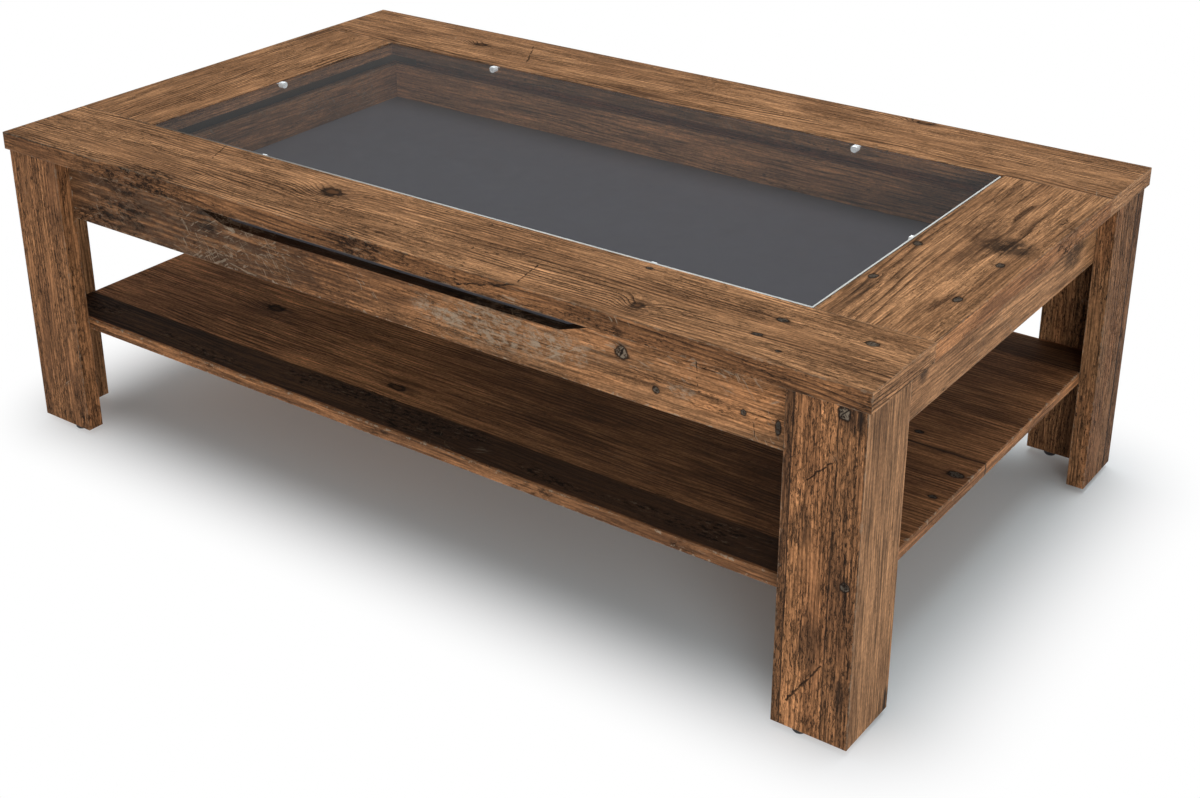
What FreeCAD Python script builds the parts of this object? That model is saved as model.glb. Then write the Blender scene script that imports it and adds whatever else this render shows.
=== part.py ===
import FreeCAD, Part
import os
from collections import namedtuple
from FreeCAD import Vector

# Display coffee table: a glass-topped frame of boards on four L-shaped board legs, with a shelf below
# and a display drawer on roller runners under the glass.
# Millimetres. X runs along the table, Y from the drawer side to the back, Z up.
# The origin is on the floor under the middle of the table.

os.makedirs("parts", exist_ok=True)

# Whole table
table_length = 1200.0
table_depth = 700.0
table_height = 400.0
edge_round = 0.6
cut_overrun = 5.0
hole_clearance = 0.1

# Top frame
top_thickness = 22.0
top_side_border = 130.0
top_long_border = 126.0
top_overhang = 4.0

# Glass pane and its pins
glass_thickness = 5.0
glass_recess = 0.4
glass_edge_gap = 2.0
glass_bevel = 0.8
pin_barrel_diameter = 5.0
pin_barrel_length = 11.0
pin_seat_diameter = 9.0
pin_seat_length = 8.0
pin_flat_height = 3.2
long_pin_place = 280.0

# Legs and their glides
leg_thickness = 22.0
front_leg_width = 85.0
back_leg_width = 100.0
leg_side_width = 85.0
glide_height = 7.0
glide_diameter = 16.0
glide_sole_diameter = 13.0
glide_rim_height = 5.0
glide_spike_diameter = 5.0
glide_spike_length = 14.0
glide_end_distance = 28.0

# Aprons and runner panels
apron_height = 75.0
apron_thickness = 16.0
panel_thickness = 16.0
panel_front_gap = 1.0

# Shelf
shelf_thickness = 15.0
shelf_top_height = 160.0
shelf_round = 1.5

# Drawer
drawer_recess = 18.0
drawer_front_thickness = 16.0
drawer_front_height = 75.0
drawer_top_gap = 3.0
drawer_end_gap = 2.0
notch_depth = 21.5
notch_bottom_length = 480.0
notch_slope_run = 65.0
drawer_wall_thickness = 12.0
drawer_wall_height = 60.0
drawer_wall_lift = 1.0
drawer_side_reveal = 5.0
drawer_back_reveal = 11.0
drawer_bottom_thickness = 4.0
drawer_bottom_lift = 6.0
groove_depth = 6.0
groove_clearance = 0.15

# Roller runners
runner_gap = 12.7
runner_sheet = 1.2
runner_front_setback = 6.0
runner_back_setback = 52.0
runner_height_in_drawer = 17.0
drawer_flange_width = 5.2
drawer_web_height = 14.0
cabinet_lip_width = 4.5
flange_side_gap = 0.9
roller_diameter = 18.0
roller_width = 8.5
roller_edge = 0.8
roller_gap = 0.3
roller_bore_clearance = 0.08
roller_end_distance = 10.0
roller_flange_gap = 2.0
axle_diameter = 5.0
axle_head_diameter = 8.4
axle_head_height = 1.2
axle_recess_diameter = 9.4
axle_recess_depth = 1.6
axle_end_play = 0.15
ear_length = 24.0
ear_drop = 15.0

# Dowels
dowel_diameter = 8.0
dowel_length = 30.0
dowel_chamfer = 1.0
drawer_dowel_diameter = 6.0

# Cam fittings
bolt_thread_diameter = 6.0
bolt_thread_length = 11.0
bolt_shank_diameter = 7.0
bolt_neck_diameter = 4.0
bolt_neck_length = 5.0
bolt_head_diameter = 6.6
bolt_head_length = 4.0
cam_setback = 24.0
cam_diameter = 15.0
cam_depth = 12.0
shelf_cam_depth = 11.5
small_cam_diameter = 12.0
small_cam_depth = 10.0
cam_play = 0.2
cam_cross_length = 8.0
cam_cross_width = 1.6
cam_cross_depth = 1.0

# Screws
screw_diameter = 4.0
screw_head_diameter = 7.6
screw_head_depth = 2.4
screw_tip_length = 4.0
screw_tip_diameter = 0.8
screw_cross_length = 4.0
screw_cross_width = 1.0
screw_cross_depth = 1.2
leg_screw_length = 30.0
corner_screw_length = 40.0
panel_screw_length = 45.0
drawer_screw_length = 35.0
runner_screw_diameter = 3.5
runner_screw_head_diameter = 6.4
runner_screw_head_depth = 1.8
cabinet_runner_screw_length = 14.0
drawer_runner_screw_length = 11.0

# Places of the fixings
top_dowel_inset = 35.0
apron_cam_inset = 74.0
back_cam_inset = 120.0
shelf_bolt_inset = 46.0
leg_screw_inset = 39.0
apron_screw_height_shares = (0.3, 0.75)
corner_screw_height_shares = (0.12, 0.52)
panel_screw_height_shares = (0.25, 0.62)
drawer_screw_height_shares = (0.35, 0.85)
drawer_cam_height_share = 0.32
drawer_dowel_height_share = 0.82
runner_screw_place_shares = (0.12, 0.5, 0.88)

# Places worked out from the sizes
half_length = table_length / 2
half_depth = table_depth / 2
top_underside = table_height - top_thickness
opening_x = half_length - top_side_border
opening_y = half_depth - top_long_border
apron_cam_y = opening_y - apron_cam_inset
back_cam_x = opening_x - back_cam_inset
leg_x = half_length - top_overhang
leg_y = half_depth - top_overhang
leg_inner_x = leg_x - leg_thickness
leg_inner_y = leg_y - leg_thickness
leg_mid_x = leg_x - leg_thickness / 2
leg_mid_y = leg_y - leg_thickness / 2
apron_bottom = top_underside - apron_height
apron_inner_x = leg_inner_x - apron_thickness
apron_inner_y = leg_inner_y - apron_thickness
glass_underside = table_height - glass_recess - glass_thickness
drawer_front_y = drawer_recess - leg_y
drawer_front_back = drawer_front_y + drawer_front_thickness
drawer_front_top = top_underside - drawer_top_gap
drawer_front_bottom = drawer_front_top - drawer_front_height
drawer_front_x = leg_x - front_leg_width - drawer_end_gap
drawer_inner_x = opening_x + drawer_side_reveal
drawer_outer_x = drawer_inner_x + drawer_wall_thickness
drawer_inner_y = opening_y + drawer_back_reveal
drawer_outer_y = drawer_inner_y + drawer_wall_thickness
drawer_wall_bottom = drawer_front_bottom + drawer_wall_lift
drawer_wall_top = drawer_wall_bottom + drawer_wall_height
drawer_floor_under = drawer_wall_bottom + drawer_bottom_lift
drawer_floor = drawer_floor_under + drawer_bottom_thickness
panel_inner_x = drawer_outer_x + runner_gap
panel_outer_x = panel_inner_x + panel_thickness
panel_front_y = drawer_front_back + panel_front_gap
runner_front_y = panel_front_y + runner_front_setback
runner_back_y = drawer_outer_y - runner_back_setback
runner_length = runner_back_y - runner_front_y
channel_floor = drawer_wall_bottom + runner_height_in_drawer
axle_height = channel_floor + roller_gap + roller_diameter / 2
flange_under = axle_height + roller_diameter / 2 + roller_gap
cabinet_web_x = panel_inner_x - runner_sheet
drawer_web_x = drawer_outer_x + runner_sheet
cabinet_roller_y = runner_front_y + roller_end_distance
drawer_roller_y = runner_back_y - roller_end_distance
channel_front_y = cabinet_roller_y + roller_diameter / 2 + roller_flange_gap

X = Vector(1, 0, 0)
Y = Vector(0, 1, 0)
Z = Vector(0, 0, 1)
ORIGIN = Vector(0, 0, 0)
Seat = namedtuple("Seat", "start direction")
CamJoint = namedtuple("CamJoint", "edge_point inward face half_thickness")


# Shapes

def block(x, y, z):
    """A box between pairs of low and high places."""
    size = Vector(x[1] - x[0], y[1] - y[0], z[1] - z[0])
    return Part.makeBox(size.x, size.y, size.z, Vector(x[0], y[0], z[0]))


def board(x, y, z, rounding=edge_round):
    """A box with all its edges softened."""
    plain = block(x, y, z)
    return plain.makeFillet(rounding, plain.Edges)


def prism(points, along):
    """A closed outline of points, swept along a vector."""
    outline = Part.makePolygon(points + points[:1])
    return Part.Face(outline).extrude(along)


def placed(shape, seat):
    """A shape modelled along Z, set at a seat's start and turned to its direction."""
    moved = shape.copy()
    moved.Placement = FreeCAD.Placement(seat.start, FreeCAD.Rotation(Z, seat.direction))
    return moved


def turned_ring(outline, seat):
    """A closed outline of (distance along, radius) points, turned about the seat's axis."""
    points = [Vector(radius, 0, along) for along, radius in outline]
    face = Part.Face(Part.makePolygon(points + points[:1]))
    return placed(face.revolve(ORIGIN, Z, 360), seat)


def turned(profile, seat):
    """A solid turned from a profile of (distance along, radius) points."""
    first = (profile[0][0], 0)
    last = (profile[-1][0], 0)
    return turned_ring([first] + profile + [last], seat)


def grown(profile, clearance, mouth):
    """The profile of the hole for a turned piece, opened at its start by the mouth."""
    widened = [(along, radius + clearance) for along, radius in profile]
    start, start_radius = widened[0]
    end, end_radius = widened[-1]
    return [(start - mouth, start_radius)] + widened + [(end + clearance, end_radius)]


def cross(length, width, depth, seat):
    """The cutter of a screwdriver cross that goes in along the seat's direction."""
    half = length / 2
    thin = width / 2
    bars = block((-half, half), (-thin, thin), (-cut_overrun, depth))
    bars = bars.fuse(block((-thin, thin), (-half, half), (-cut_overrun, depth)))
    return placed(bars, seat)


def drilled(shape, *hole_groups):
    """A shape with each hole that reaches it cut out."""
    holes = [hole for group in hole_groups for hole in group if hole.BoundBox.intersect(shape.BoundBox)]
    return shape.cut(holes) if holes else shape


def mirrored(shape):
    """The same shape on the other end of the table."""
    return shape.mirror(ORIGIN, X)


def flipped(shape):
    """The same shape on the other long side of the table."""
    return shape.mirror(ORIGIN, Y)


def both_ends(seats):
    """Seats on the right end, with the same seats on the left end."""
    left = [Seat(Vector(-s.start.x, s.start.y, s.start.z), Vector(-s.direction.x, s.direction.y, s.direction.z))
            for s in seats]
    return seats + left


def both_sides(seats):
    """Seats at the front, with the same seats at the back."""
    back = [Seat(Vector(s.start.x, -s.start.y, s.start.z), Vector(s.direction.x, -s.direction.y, s.direction.z))
            for s in seats]
    return seats + back


def save(name, shapes):
    """Write one named piece, or one group of like pieces."""
    whole = Part.makeCompound(shapes) if isinstance(shapes, list) else shapes
    whole.exportStep("parts/" + name + ".step")


# Fasteners: each maker gives the solids and the holes they sit in

def dowels(seats, diameter):
    radius = diameter / 2
    profile = [(0, radius - dowel_chamfer), (dowel_chamfer, radius),
               (dowel_length - dowel_chamfer, radius), (dowel_length, radius - dowel_chamfer)]
    hole = [(0, radius), (dowel_length, radius)]
    solids = [turned(profile, seat) for seat in seats]
    holes = [turned(grown(hole, hole_clearance, hole_clearance), seat) for seat in seats]
    return solids, holes


def screws(seats, length, diameter=screw_diameter, head=screw_head_diameter, head_depth=screw_head_depth):
    profile = [(0, head / 2), (head_depth, diameter / 2), (length - screw_tip_length, diameter / 2),
               (length, screw_tip_diameter / 2)]
    solids = []
    for seat in seats:
        recess = cross(screw_cross_length, screw_cross_width, screw_cross_depth, seat)
        solids.append(turned(profile, seat).cut(recess))
    holes = [turned(grown(profile, hole_clearance, cut_overrun), seat) for seat in seats]
    return solids, holes


def bolt_profile():
    neck_end = bolt_thread_length + cam_setback - bolt_head_length / 2
    neck_start = neck_end - bolt_neck_length
    head_end = neck_end + bolt_head_length
    return [(0, bolt_thread_diameter / 2), (bolt_thread_length, bolt_thread_diameter / 2),
            (bolt_thread_length, bolt_shank_diameter / 2), (neck_start, bolt_shank_diameter / 2),
            (neck_start, bolt_neck_diameter / 2), (neck_end, bolt_neck_diameter / 2),
            (neck_end, bolt_head_diameter / 2), (head_end, bolt_head_diameter / 2)]


def cam_fittings(joints, diameter=cam_diameter, depth=cam_depth):
    """The bolts, the cams that pull on their heads, and the holes for both."""
    bolts = []
    cams = []
    holes = []
    body = [(0, diameter / 2), (depth, diameter / 2)]
    for joint in joints:
        bolt_seat = Seat(joint.edge_point - joint.inward * bolt_thread_length, joint.inward)
        cam_start = joint.edge_point + joint.inward * cam_setback + joint.face * joint.half_thickness
        cam_seat = Seat(cam_start, -joint.face)
        room = turned(grown(bolt_profile(), cam_play, cam_play), bolt_seat)
        slots = cross(cam_cross_length, cam_cross_width, cam_cross_depth, cam_seat)
        bolts.append(turned(bolt_profile(), bolt_seat))
        cams.append(turned(body, cam_seat).cut([room, slots]))
        holes.append(turned(grown(bolt_profile(), hole_clearance, hole_clearance), bolt_seat))
        holes.append(turned(grown(body, hole_clearance, cut_overrun), cam_seat))
    return bolts, cams, holes


def ends_of(joints):
    """Cam joints on the right end, with the same joints on the left end."""
    def turn(v):
        return Vector(-v.x, v.y, v.z)
    return joints + [CamJoint(turn(j.edge_point), turn(j.inward), turn(j.face), j.half_thickness) for j in joints]


def sides_of(joints):
    """Cam joints at the front, with the same joints at the back."""
    def turn(v):
        return Vector(v.x, -v.y, v.z)
    return joints + [CamJoint(turn(j.edge_point), turn(j.inward), turn(j.face), j.half_thickness) for j in joints]


# Dowels that join the four top boards, and the leg boards to the top

def top_frame_dowels():
    inner = opening_x + top_dowel_inset
    outer = half_length - top_dowel_inset
    height = table_height - top_thickness / 2
    seats = [Seat(Vector(x, -opening_y - dowel_length / 2, height), Y) for x in (inner, outer)]
    return dowels(both_ends(both_sides(seats)), dowel_diameter)


def leg_top_dowels():
    low = top_underside - dowel_length / 2
    front_x = leg_x - front_leg_width / 2
    back_x = leg_x - back_leg_width / 2
    side_y = leg_y - leg_side_width / 2
    seats = [Seat(Vector(front_x, -leg_mid_y, low), Z), Seat(Vector(back_x, leg_mid_y, low), Z),
             Seat(Vector(leg_mid_x, -side_y, low), Z), Seat(Vector(leg_mid_x, side_y, low), Z)]
    return dowels(both_ends(seats), dowel_diameter)


# Cam fittings that hold the top on the aprons and the runner panels

def top_fixings():
    apron_mid = apron_inner_x + apron_thickness / 2
    panel_mid = panel_inner_x + panel_thickness / 2
    back_mid = apron_inner_y + apron_thickness / 2
    ends = [CamJoint(Vector(apron_mid, -apron_cam_y, top_underside), -Z, -X, apron_thickness / 2),
            CamJoint(Vector(panel_mid, -apron_cam_y, top_underside), -Z, X, panel_thickness / 2)]
    back = [CamJoint(Vector(back_cam_x, back_mid, top_underside), -Z, -Y, apron_thickness / 2)]
    return cam_fittings(ends_of(sides_of(ends)) + ends_of(back))


# Screws through the aprons

def heights(shares):
    return [apron_bottom + apron_height * share for share in shares]


def leg_screws():
    side_y = leg_inner_y - leg_screw_inset
    back_x = leg_inner_x - leg_screw_inset
    seats = []
    for height in heights(apron_screw_height_shares):
        seats += both_sides([Seat(Vector(apron_inner_x, -side_y, height), X)])
        seats.append(Seat(Vector(back_x, apron_inner_y, height), Y))
    return screws(both_ends(seats), leg_screw_length)


def apron_corner_screws():
    back_mid = apron_inner_y + apron_thickness / 2
    seats = [Seat(Vector(leg_inner_x, back_mid, height), -X) for height in heights(corner_screw_height_shares)]
    return screws(both_ends(seats), corner_screw_length)


def panel_screws():
    panel_mid = panel_inner_x + panel_thickness / 2
    seats = [Seat(Vector(panel_mid, leg_inner_y, height), -Y) for height in heights(panel_screw_height_shares)]
    return screws(both_ends(seats), panel_screw_length)


# Cam fittings that hold the shelf between the leg boards

def shelf_fixings():
    middle = shelf_top_height - shelf_thickness / 2
    half = shelf_thickness / 2
    x = leg_inner_x - shelf_bolt_inset
    y = leg_inner_y - shelf_bolt_inset
    joints = [CamJoint(Vector(x, -leg_inner_y, middle), Y, -Z, half),
              CamJoint(Vector(leg_inner_x, -y, middle), -X, -Z, half)]
    return cam_fittings(ends_of(sides_of(joints)), cam_diameter, shelf_cam_depth)


# Glides and glass pins

def glides():
    front_x = leg_x - front_leg_width + glide_end_distance
    back_x = leg_x - back_leg_width + glide_end_distance
    side_y = leg_y - leg_side_width + glide_end_distance
    seats = both_ends([Seat(Vector(front_x, -leg_mid_y, 0), Z), Seat(Vector(back_x, leg_mid_y, 0), Z),
                       Seat(Vector(leg_mid_x, -side_y, 0), Z), Seat(Vector(leg_mid_x, side_y, 0), Z)])
    spike_end = glide_height + glide_spike_length
    profile = [(0, glide_sole_diameter / 2), (glide_height - glide_rim_height, glide_diameter / 2),
               (glide_height, glide_diameter / 2), (glide_height, glide_spike_diameter / 2),
               (spike_end, glide_spike_diameter / 2)]
    spike = [(glide_height, glide_spike_diameter / 2), (spike_end, glide_spike_diameter / 2)]
    solids = [turned(profile, seat) for seat in seats]
    holes = [turned(grown(spike, hole_clearance, hole_clearance), seat) for seat in seats]
    return solids, holes


def glass_pins():
    axis_height = glass_underside - pin_flat_height
    seats = both_ends([Seat(Vector(opening_x - pin_seat_length, 0, axis_height), X)])
    seats += both_ends(both_sides([Seat(Vector(long_pin_place, pin_seat_length - opening_y, axis_height), -Y)]))
    end = pin_seat_length + pin_barrel_length
    profile = [(0, pin_seat_diameter / 2), (pin_seat_length, pin_seat_diameter / 2),
               (pin_seat_length, pin_barrel_diameter / 2), (end, pin_barrel_diameter / 2)]
    barrel = [(pin_seat_length, pin_barrel_diameter / 2), (end, pin_barrel_diameter / 2)]
    glass_room = block((-half_length, half_length), (-half_depth, half_depth), (glass_underside, table_height))
    solids = [turned(profile, seat).cut(glass_room) for seat in seats]
    holes = [turned(grown(barrel, hole_clearance, hole_clearance), seat) for seat in seats]
    return solids, holes


# Top frame and glass

def top_boards(*holes):
    height = (top_underside, table_height)
    front = board((-half_length, half_length), (-half_depth, -opening_y), height)
    right = board((opening_x, half_length), (-opening_y, opening_y), height)
    save("top_front_board", drilled(front, *holes))
    save("top_back_board", drilled(flipped(front), *holes))
    right = drilled(right, *holes)
    save("top_right_board", right)
    save("top_left_board", mirrored(right))


def glass_pane():
    x = opening_x - glass_edge_gap
    y = opening_y - glass_edge_gap
    pane = block((-x, x), (-y, y), (glass_underside, glass_underside + glass_thickness))
    save("glass_pane", pane.makeChamfer(glass_bevel, pane.Edges))


# Legs: two boards mitred along the outer corner

def leg_pair(width):
    """The front board and the side board of a right-hand front leg."""
    inner = Vector(leg_inner_x, -leg_inner_y, glide_height)
    outline = [Vector(leg_x, -leg_y, glide_height), Vector(leg_x, leg_side_width - leg_y, glide_height),
               Vector(leg_inner_x, leg_side_width - leg_y, glide_height), inner,
               Vector(leg_x - width, -leg_inner_y, glide_height), Vector(leg_x - width, -leg_y, glide_height)]
    angle = prism(outline, Z * (top_underside - glide_height))
    inner_mid = Vector(inner.x, inner.y, (glide_height + top_underside) / 2)
    edges = [e for e in angle.Edges if not e.CenterOfMass.isEqual(inner_mid, edge_round)]
    angle = angle.makeFillet(edge_round, edges)
    far_x = leg_x - width - cut_overrun
    mitre = [Vector(leg_x + cut_overrun, -leg_y - cut_overrun, 0), Vector(inner.x, inner.y, 0),
             Vector(far_x, cut_overrun - leg_inner_y, 0), Vector(far_x, -leg_y - cut_overrun, 0)]
    front_part = prism(mitre, Z * table_height)
    return angle.common(front_part), angle.cut(front_part)


def legs(*holes):
    front, front_side = leg_pair(front_leg_width)
    back, back_side = leg_pair(back_leg_width)
    boards = {"front_NAME_leg_front_board": front, "front_NAME_leg_side_board": front_side,
              "back_NAME_leg_back_board": flipped(back), "back_NAME_leg_side_board": flipped(back_side)}
    for name, plain in boards.items():
        right = drilled(plain, *holes)
        save(name.replace("NAME", "right"), right)
        save(name.replace("NAME", "left"), mirrored(right))


# Aprons, runner panels and shelf

def aprons(*holes):
    height = (apron_bottom, top_underside)
    right = board((apron_inner_x, leg_inner_x), (-leg_inner_y, leg_inner_y), height)
    back = board((-apron_inner_x, apron_inner_x), (apron_inner_y, leg_inner_y), height)
    right = drilled(right, *holes)
    save("right_apron", right)
    save("left_apron", mirrored(right))
    save("back_apron", drilled(back, *holes))


def runner_panels(*holes):
    height = (apron_bottom, top_underside)
    right = board((panel_inner_x, panel_outer_x), (panel_front_y, apron_inner_y), height)
    right = drilled(right, *holes)
    save("right_runner_panel", right)
    save("left_runner_panel", mirrored(right))


def shelf(*holes):
    height = (shelf_top_height - shelf_thickness, shelf_top_height)
    plate = board((-leg_inner_x, leg_inner_x), (-leg_inner_y, leg_inner_y), height, shelf_round)
    save("shelf", drilled(plate, *holes))


# Drawer

def drawer_bottom_block(clearance):
    x = drawer_inner_x + groove_depth - groove_clearance + clearance
    front = drawer_front_back - groove_depth + groove_clearance - clearance
    back = drawer_inner_y + groove_depth - groove_clearance + clearance
    return block((-x, x), (front, back), (drawer_floor_under - clearance, drawer_floor + clearance))


def drawer_front_board(*holes):
    notch_bottom = notch_bottom_length / 2
    notch_top = notch_bottom + notch_slope_run
    notch_floor = drawer_front_top - notch_depth
    corners = [(drawer_front_x, drawer_front_bottom), (drawer_front_x, drawer_front_top),
               (notch_top, drawer_front_top), (notch_bottom, notch_floor)]
    right = [Vector(x, drawer_front_y, z) for x, z in corners]
    left = [Vector(-x, drawer_front_y, z) for x, z in reversed(corners)]
    plain = prism(right + left, Y * drawer_front_thickness)
    front = plain.makeFillet(edge_round, plain.Edges)
    return drilled(front, [drawer_bottom_block(groove_clearance)], *holes)


def drawer_fixings():
    wall_mid = drawer_inner_x + drawer_wall_thickness / 2
    back_mid = drawer_inner_y + drawer_wall_thickness / 2
    cam_height = drawer_wall_bottom + drawer_wall_height * drawer_cam_height_share
    dowel_height = drawer_wall_bottom + drawer_wall_height * drawer_dowel_height_share
    dowel_start = drawer_front_back - dowel_length / 3
    joints = [CamJoint(Vector(wall_mid, drawer_front_back, cam_height), Y, X, drawer_wall_thickness / 2)]
    bolts, cams, holes = cam_fittings(ends_of(joints), small_cam_diameter, small_cam_depth)
    pegs, peg_holes = dowels(both_ends([Seat(Vector(wall_mid, dowel_start, dowel_height), Y)]), drawer_dowel_diameter)
    seats = [Seat(Vector(drawer_outer_x, back_mid, drawer_wall_bottom + drawer_wall_height * share), -X)
             for share in drawer_screw_height_shares]
    back_screws, screw_holes = screws(both_ends(seats), drawer_screw_length)
    save("drawer_front_bolts", bolts)
    save("drawer_front_cams", cams)
    save("drawer_dowels", pegs)
    save("drawer_back_screws", back_screws)
    return holes + peg_holes + screw_holes


def drawer(*holes):
    height = (drawer_wall_bottom, drawer_wall_top)
    groove = [drawer_bottom_block(groove_clearance)]
    side = board((drawer_inner_x, drawer_outer_x), (drawer_front_back, drawer_outer_y), height)
    back = board((-drawer_inner_x, drawer_inner_x), (drawer_inner_y, drawer_outer_y), height)
    side = drilled(side, groove, *holes)
    save("drawer_front", drawer_front_board(*holes))
    save("drawer_right_side", side)
    save("drawer_left_side", mirrored(side))
    save("drawer_back", drilled(back, groove, *holes))
    save("drawer_bottom", drawer_bottom_block(0))


# Roller runners: the front roller turns on the cabinet runner, the back roller on the drawer runner

def roller_and_axle(web_face, y, direction):
    """A roller beside a runner's web, and the riveted axle that holds it."""
    start = Vector(web_face, y, axle_height)
    bore = axle_diameter / 2 + roller_bore_clearance
    outer = roller_diameter / 2
    recess_floor = roller_width - axle_recess_depth
    outline = [(0, bore), (0, outer - roller_edge), (roller_edge, outer), (roller_width - roller_edge, outer),
               (roller_width, outer - roller_edge), (roller_width, axle_recess_diameter / 2),
               (recess_floor, axle_recess_diameter / 2), (recess_floor, bore)]
    roller = turned_ring(outline, Seat(start + direction * roller_gap, direction))
    head_start = runner_sheet + roller_gap + recess_floor + axle_end_play
    profile = [(0, axle_diameter / 2), (head_start, axle_diameter / 2), (head_start, axle_head_diameter / 2),
               (head_start + axle_head_height, axle_head_diameter / 2)]
    seat = Seat(start - direction * runner_sheet, direction)
    axle = turned(profile, seat)
    rivet = [(0, axle_diameter / 2), (runner_sheet, axle_diameter / 2)]
    hole = turned(grown(rivet, hole_clearance, cut_overrun), seat)
    return roller, axle, hole


def runner_screw_seats(x, height, direction):
    places = [runner_front_y + runner_length * share for share in runner_screw_place_shares]
    return both_ends([Seat(Vector(x, y, height), direction) for y in places])


def runner_screws(seats, length):
    return screws(seats, length, runner_screw_diameter, runner_screw_head_diameter, runner_screw_head_depth)


def cabinet_runner(*holes):
    lip_under = flange_under
    web = block((cabinet_web_x, panel_inner_x), (runner_front_y, runner_back_y),
                (channel_floor - runner_sheet, lip_under + runner_sheet))
    sole_x = drawer_web_x + flange_side_gap
    sole = block((sole_x, cabinet_web_x), (channel_front_y, runner_back_y), (channel_floor - runner_sheet, channel_floor))
    lip = block((cabinet_web_x - cabinet_lip_width, cabinet_web_x), (channel_front_y, runner_back_y),
                (lip_under, lip_under + runner_sheet))
    return drilled(web.fuse([sole, lip]).removeSplitter(), *holes)


def drawer_runner(*holes):
    web = block((drawer_outer_x, drawer_web_x), (runner_front_y, runner_back_y),
                (flange_under, flange_under + drawer_web_height))
    flange = block((drawer_web_x, drawer_web_x + drawer_flange_width), (runner_front_y, runner_back_y),
                   (flange_under, flange_under + runner_sheet))
    ear = block((drawer_outer_x, drawer_web_x), (runner_back_y - ear_length, runner_back_y),
                (flange_under - ear_drop, flange_under))
    return drilled(web.fuse([flange, ear]).removeSplitter(), *holes)


def runners(cabinet_holes, drawer_holes):
    front_roller, front_axle, front_hole = roller_and_axle(cabinet_web_x, cabinet_roller_y, -X)
    back_roller, back_axle, back_hole = roller_and_axle(drawer_web_x, drawer_roller_y, X)
    pieces = {"NAME_cabinet_runner": cabinet_runner(cabinet_holes, [front_hole]), "NAME_cabinet_roller": front_roller,
              "NAME_drawer_runner": drawer_runner(drawer_holes, [back_hole]), "NAME_drawer_roller": back_roller}
    for name, right in pieces.items():
        save(name.replace("NAME", "right"), right)
        save(name.replace("NAME", "left"), mirrored(right))
    save("cabinet_roller_axles", [front_axle, mirrored(front_axle)])
    save("drawer_roller_axles", [back_axle, mirrored(back_axle)])


# The whole table

frame_dowels, frame_dowel_holes = top_frame_dowels()
leg_dowels, leg_dowel_holes = leg_top_dowels()
top_bolts, top_cams, top_fixing_holes = top_fixings()
leg_fixing_screws, leg_screw_holes = leg_screws()
corner_screws, corner_screw_holes = apron_corner_screws()
panel_fixing_screws, panel_screw_holes = panel_screws()
shelf_bolts, shelf_cams, shelf_holes = shelf_fixings()
floor_glides, glide_holes = glides()
pins, pin_holes = glass_pins()
cabinet_screws, cabinet_screw_holes = runner_screws(
    runner_screw_seats(cabinet_web_x, axle_height, X), cabinet_runner_screw_length)
drawer_screws, drawer_screw_holes = runner_screws(
    runner_screw_seats(drawer_web_x, flange_under + drawer_web_height / 2, -X), drawer_runner_screw_length)

save("top_frame_dowels", frame_dowels)
save("leg_top_dowels", leg_dowels)
save("top_fixing_bolts", top_bolts)
save("top_fixing_cams", top_cams)
save("leg_screws", leg_fixing_screws)
save("apron_corner_screws", corner_screws)
save("panel_screws", panel_fixing_screws)
save("shelf_bolts", shelf_bolts)
save("shelf_cams", shelf_cams)
save("floor_glides", floor_glides)
save("glass_pins", pins)
save("cabinet_runner_screws", cabinet_screws)
save("drawer_runner_screws", drawer_screws)

top_boards(frame_dowel_holes, leg_dowel_holes, top_fixing_holes, pin_holes)
glass_pane()
legs(leg_dowel_holes, leg_screw_holes, shelf_holes, glide_holes)
aprons(top_fixing_holes, leg_screw_holes, corner_screw_holes, panel_screw_holes)
runner_panels(top_fixing_holes, panel_screw_holes, cabinet_screw_holes)
shelf(shelf_holes)
drawer(drawer_fixings(), drawer_screw_holes)
runners(cabinet_screw_holes, drawer_screw_holes)
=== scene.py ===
"""Looks of a display coffee table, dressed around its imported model.

Laid out as a Blender add-on and run as a script. Metres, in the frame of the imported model:
X along the table, Y from the drawer side to the back, Z up.
"""
from collections import namedtuple

import bmesh
import bpy
from bpy.props import FloatProperty, FloatVectorProperty, PointerProperty
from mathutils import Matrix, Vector


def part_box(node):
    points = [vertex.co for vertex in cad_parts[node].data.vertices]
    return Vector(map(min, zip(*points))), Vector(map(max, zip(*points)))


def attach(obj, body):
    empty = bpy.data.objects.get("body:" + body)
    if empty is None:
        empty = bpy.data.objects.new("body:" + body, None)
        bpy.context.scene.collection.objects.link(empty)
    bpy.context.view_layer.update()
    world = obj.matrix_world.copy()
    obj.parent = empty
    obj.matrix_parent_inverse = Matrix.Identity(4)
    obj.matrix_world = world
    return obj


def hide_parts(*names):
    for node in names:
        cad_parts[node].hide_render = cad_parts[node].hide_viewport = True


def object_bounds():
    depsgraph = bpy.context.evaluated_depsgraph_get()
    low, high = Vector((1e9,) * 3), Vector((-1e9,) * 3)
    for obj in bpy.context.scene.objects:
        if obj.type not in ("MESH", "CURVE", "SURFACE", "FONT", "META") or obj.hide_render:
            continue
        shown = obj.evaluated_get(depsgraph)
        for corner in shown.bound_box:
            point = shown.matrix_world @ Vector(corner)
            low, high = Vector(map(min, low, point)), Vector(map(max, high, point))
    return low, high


bl_info = {
    "name": "Display Coffee Table",
    "version": (1, 0, 0),
    "blender": (4, 5, 0),
    "location": "3D View > Sidebar > Table",
    "description": "Dresses the display coffee table: old-wood boards, glass pane, drawer and runners",
    "category": "Object",
}

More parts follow.
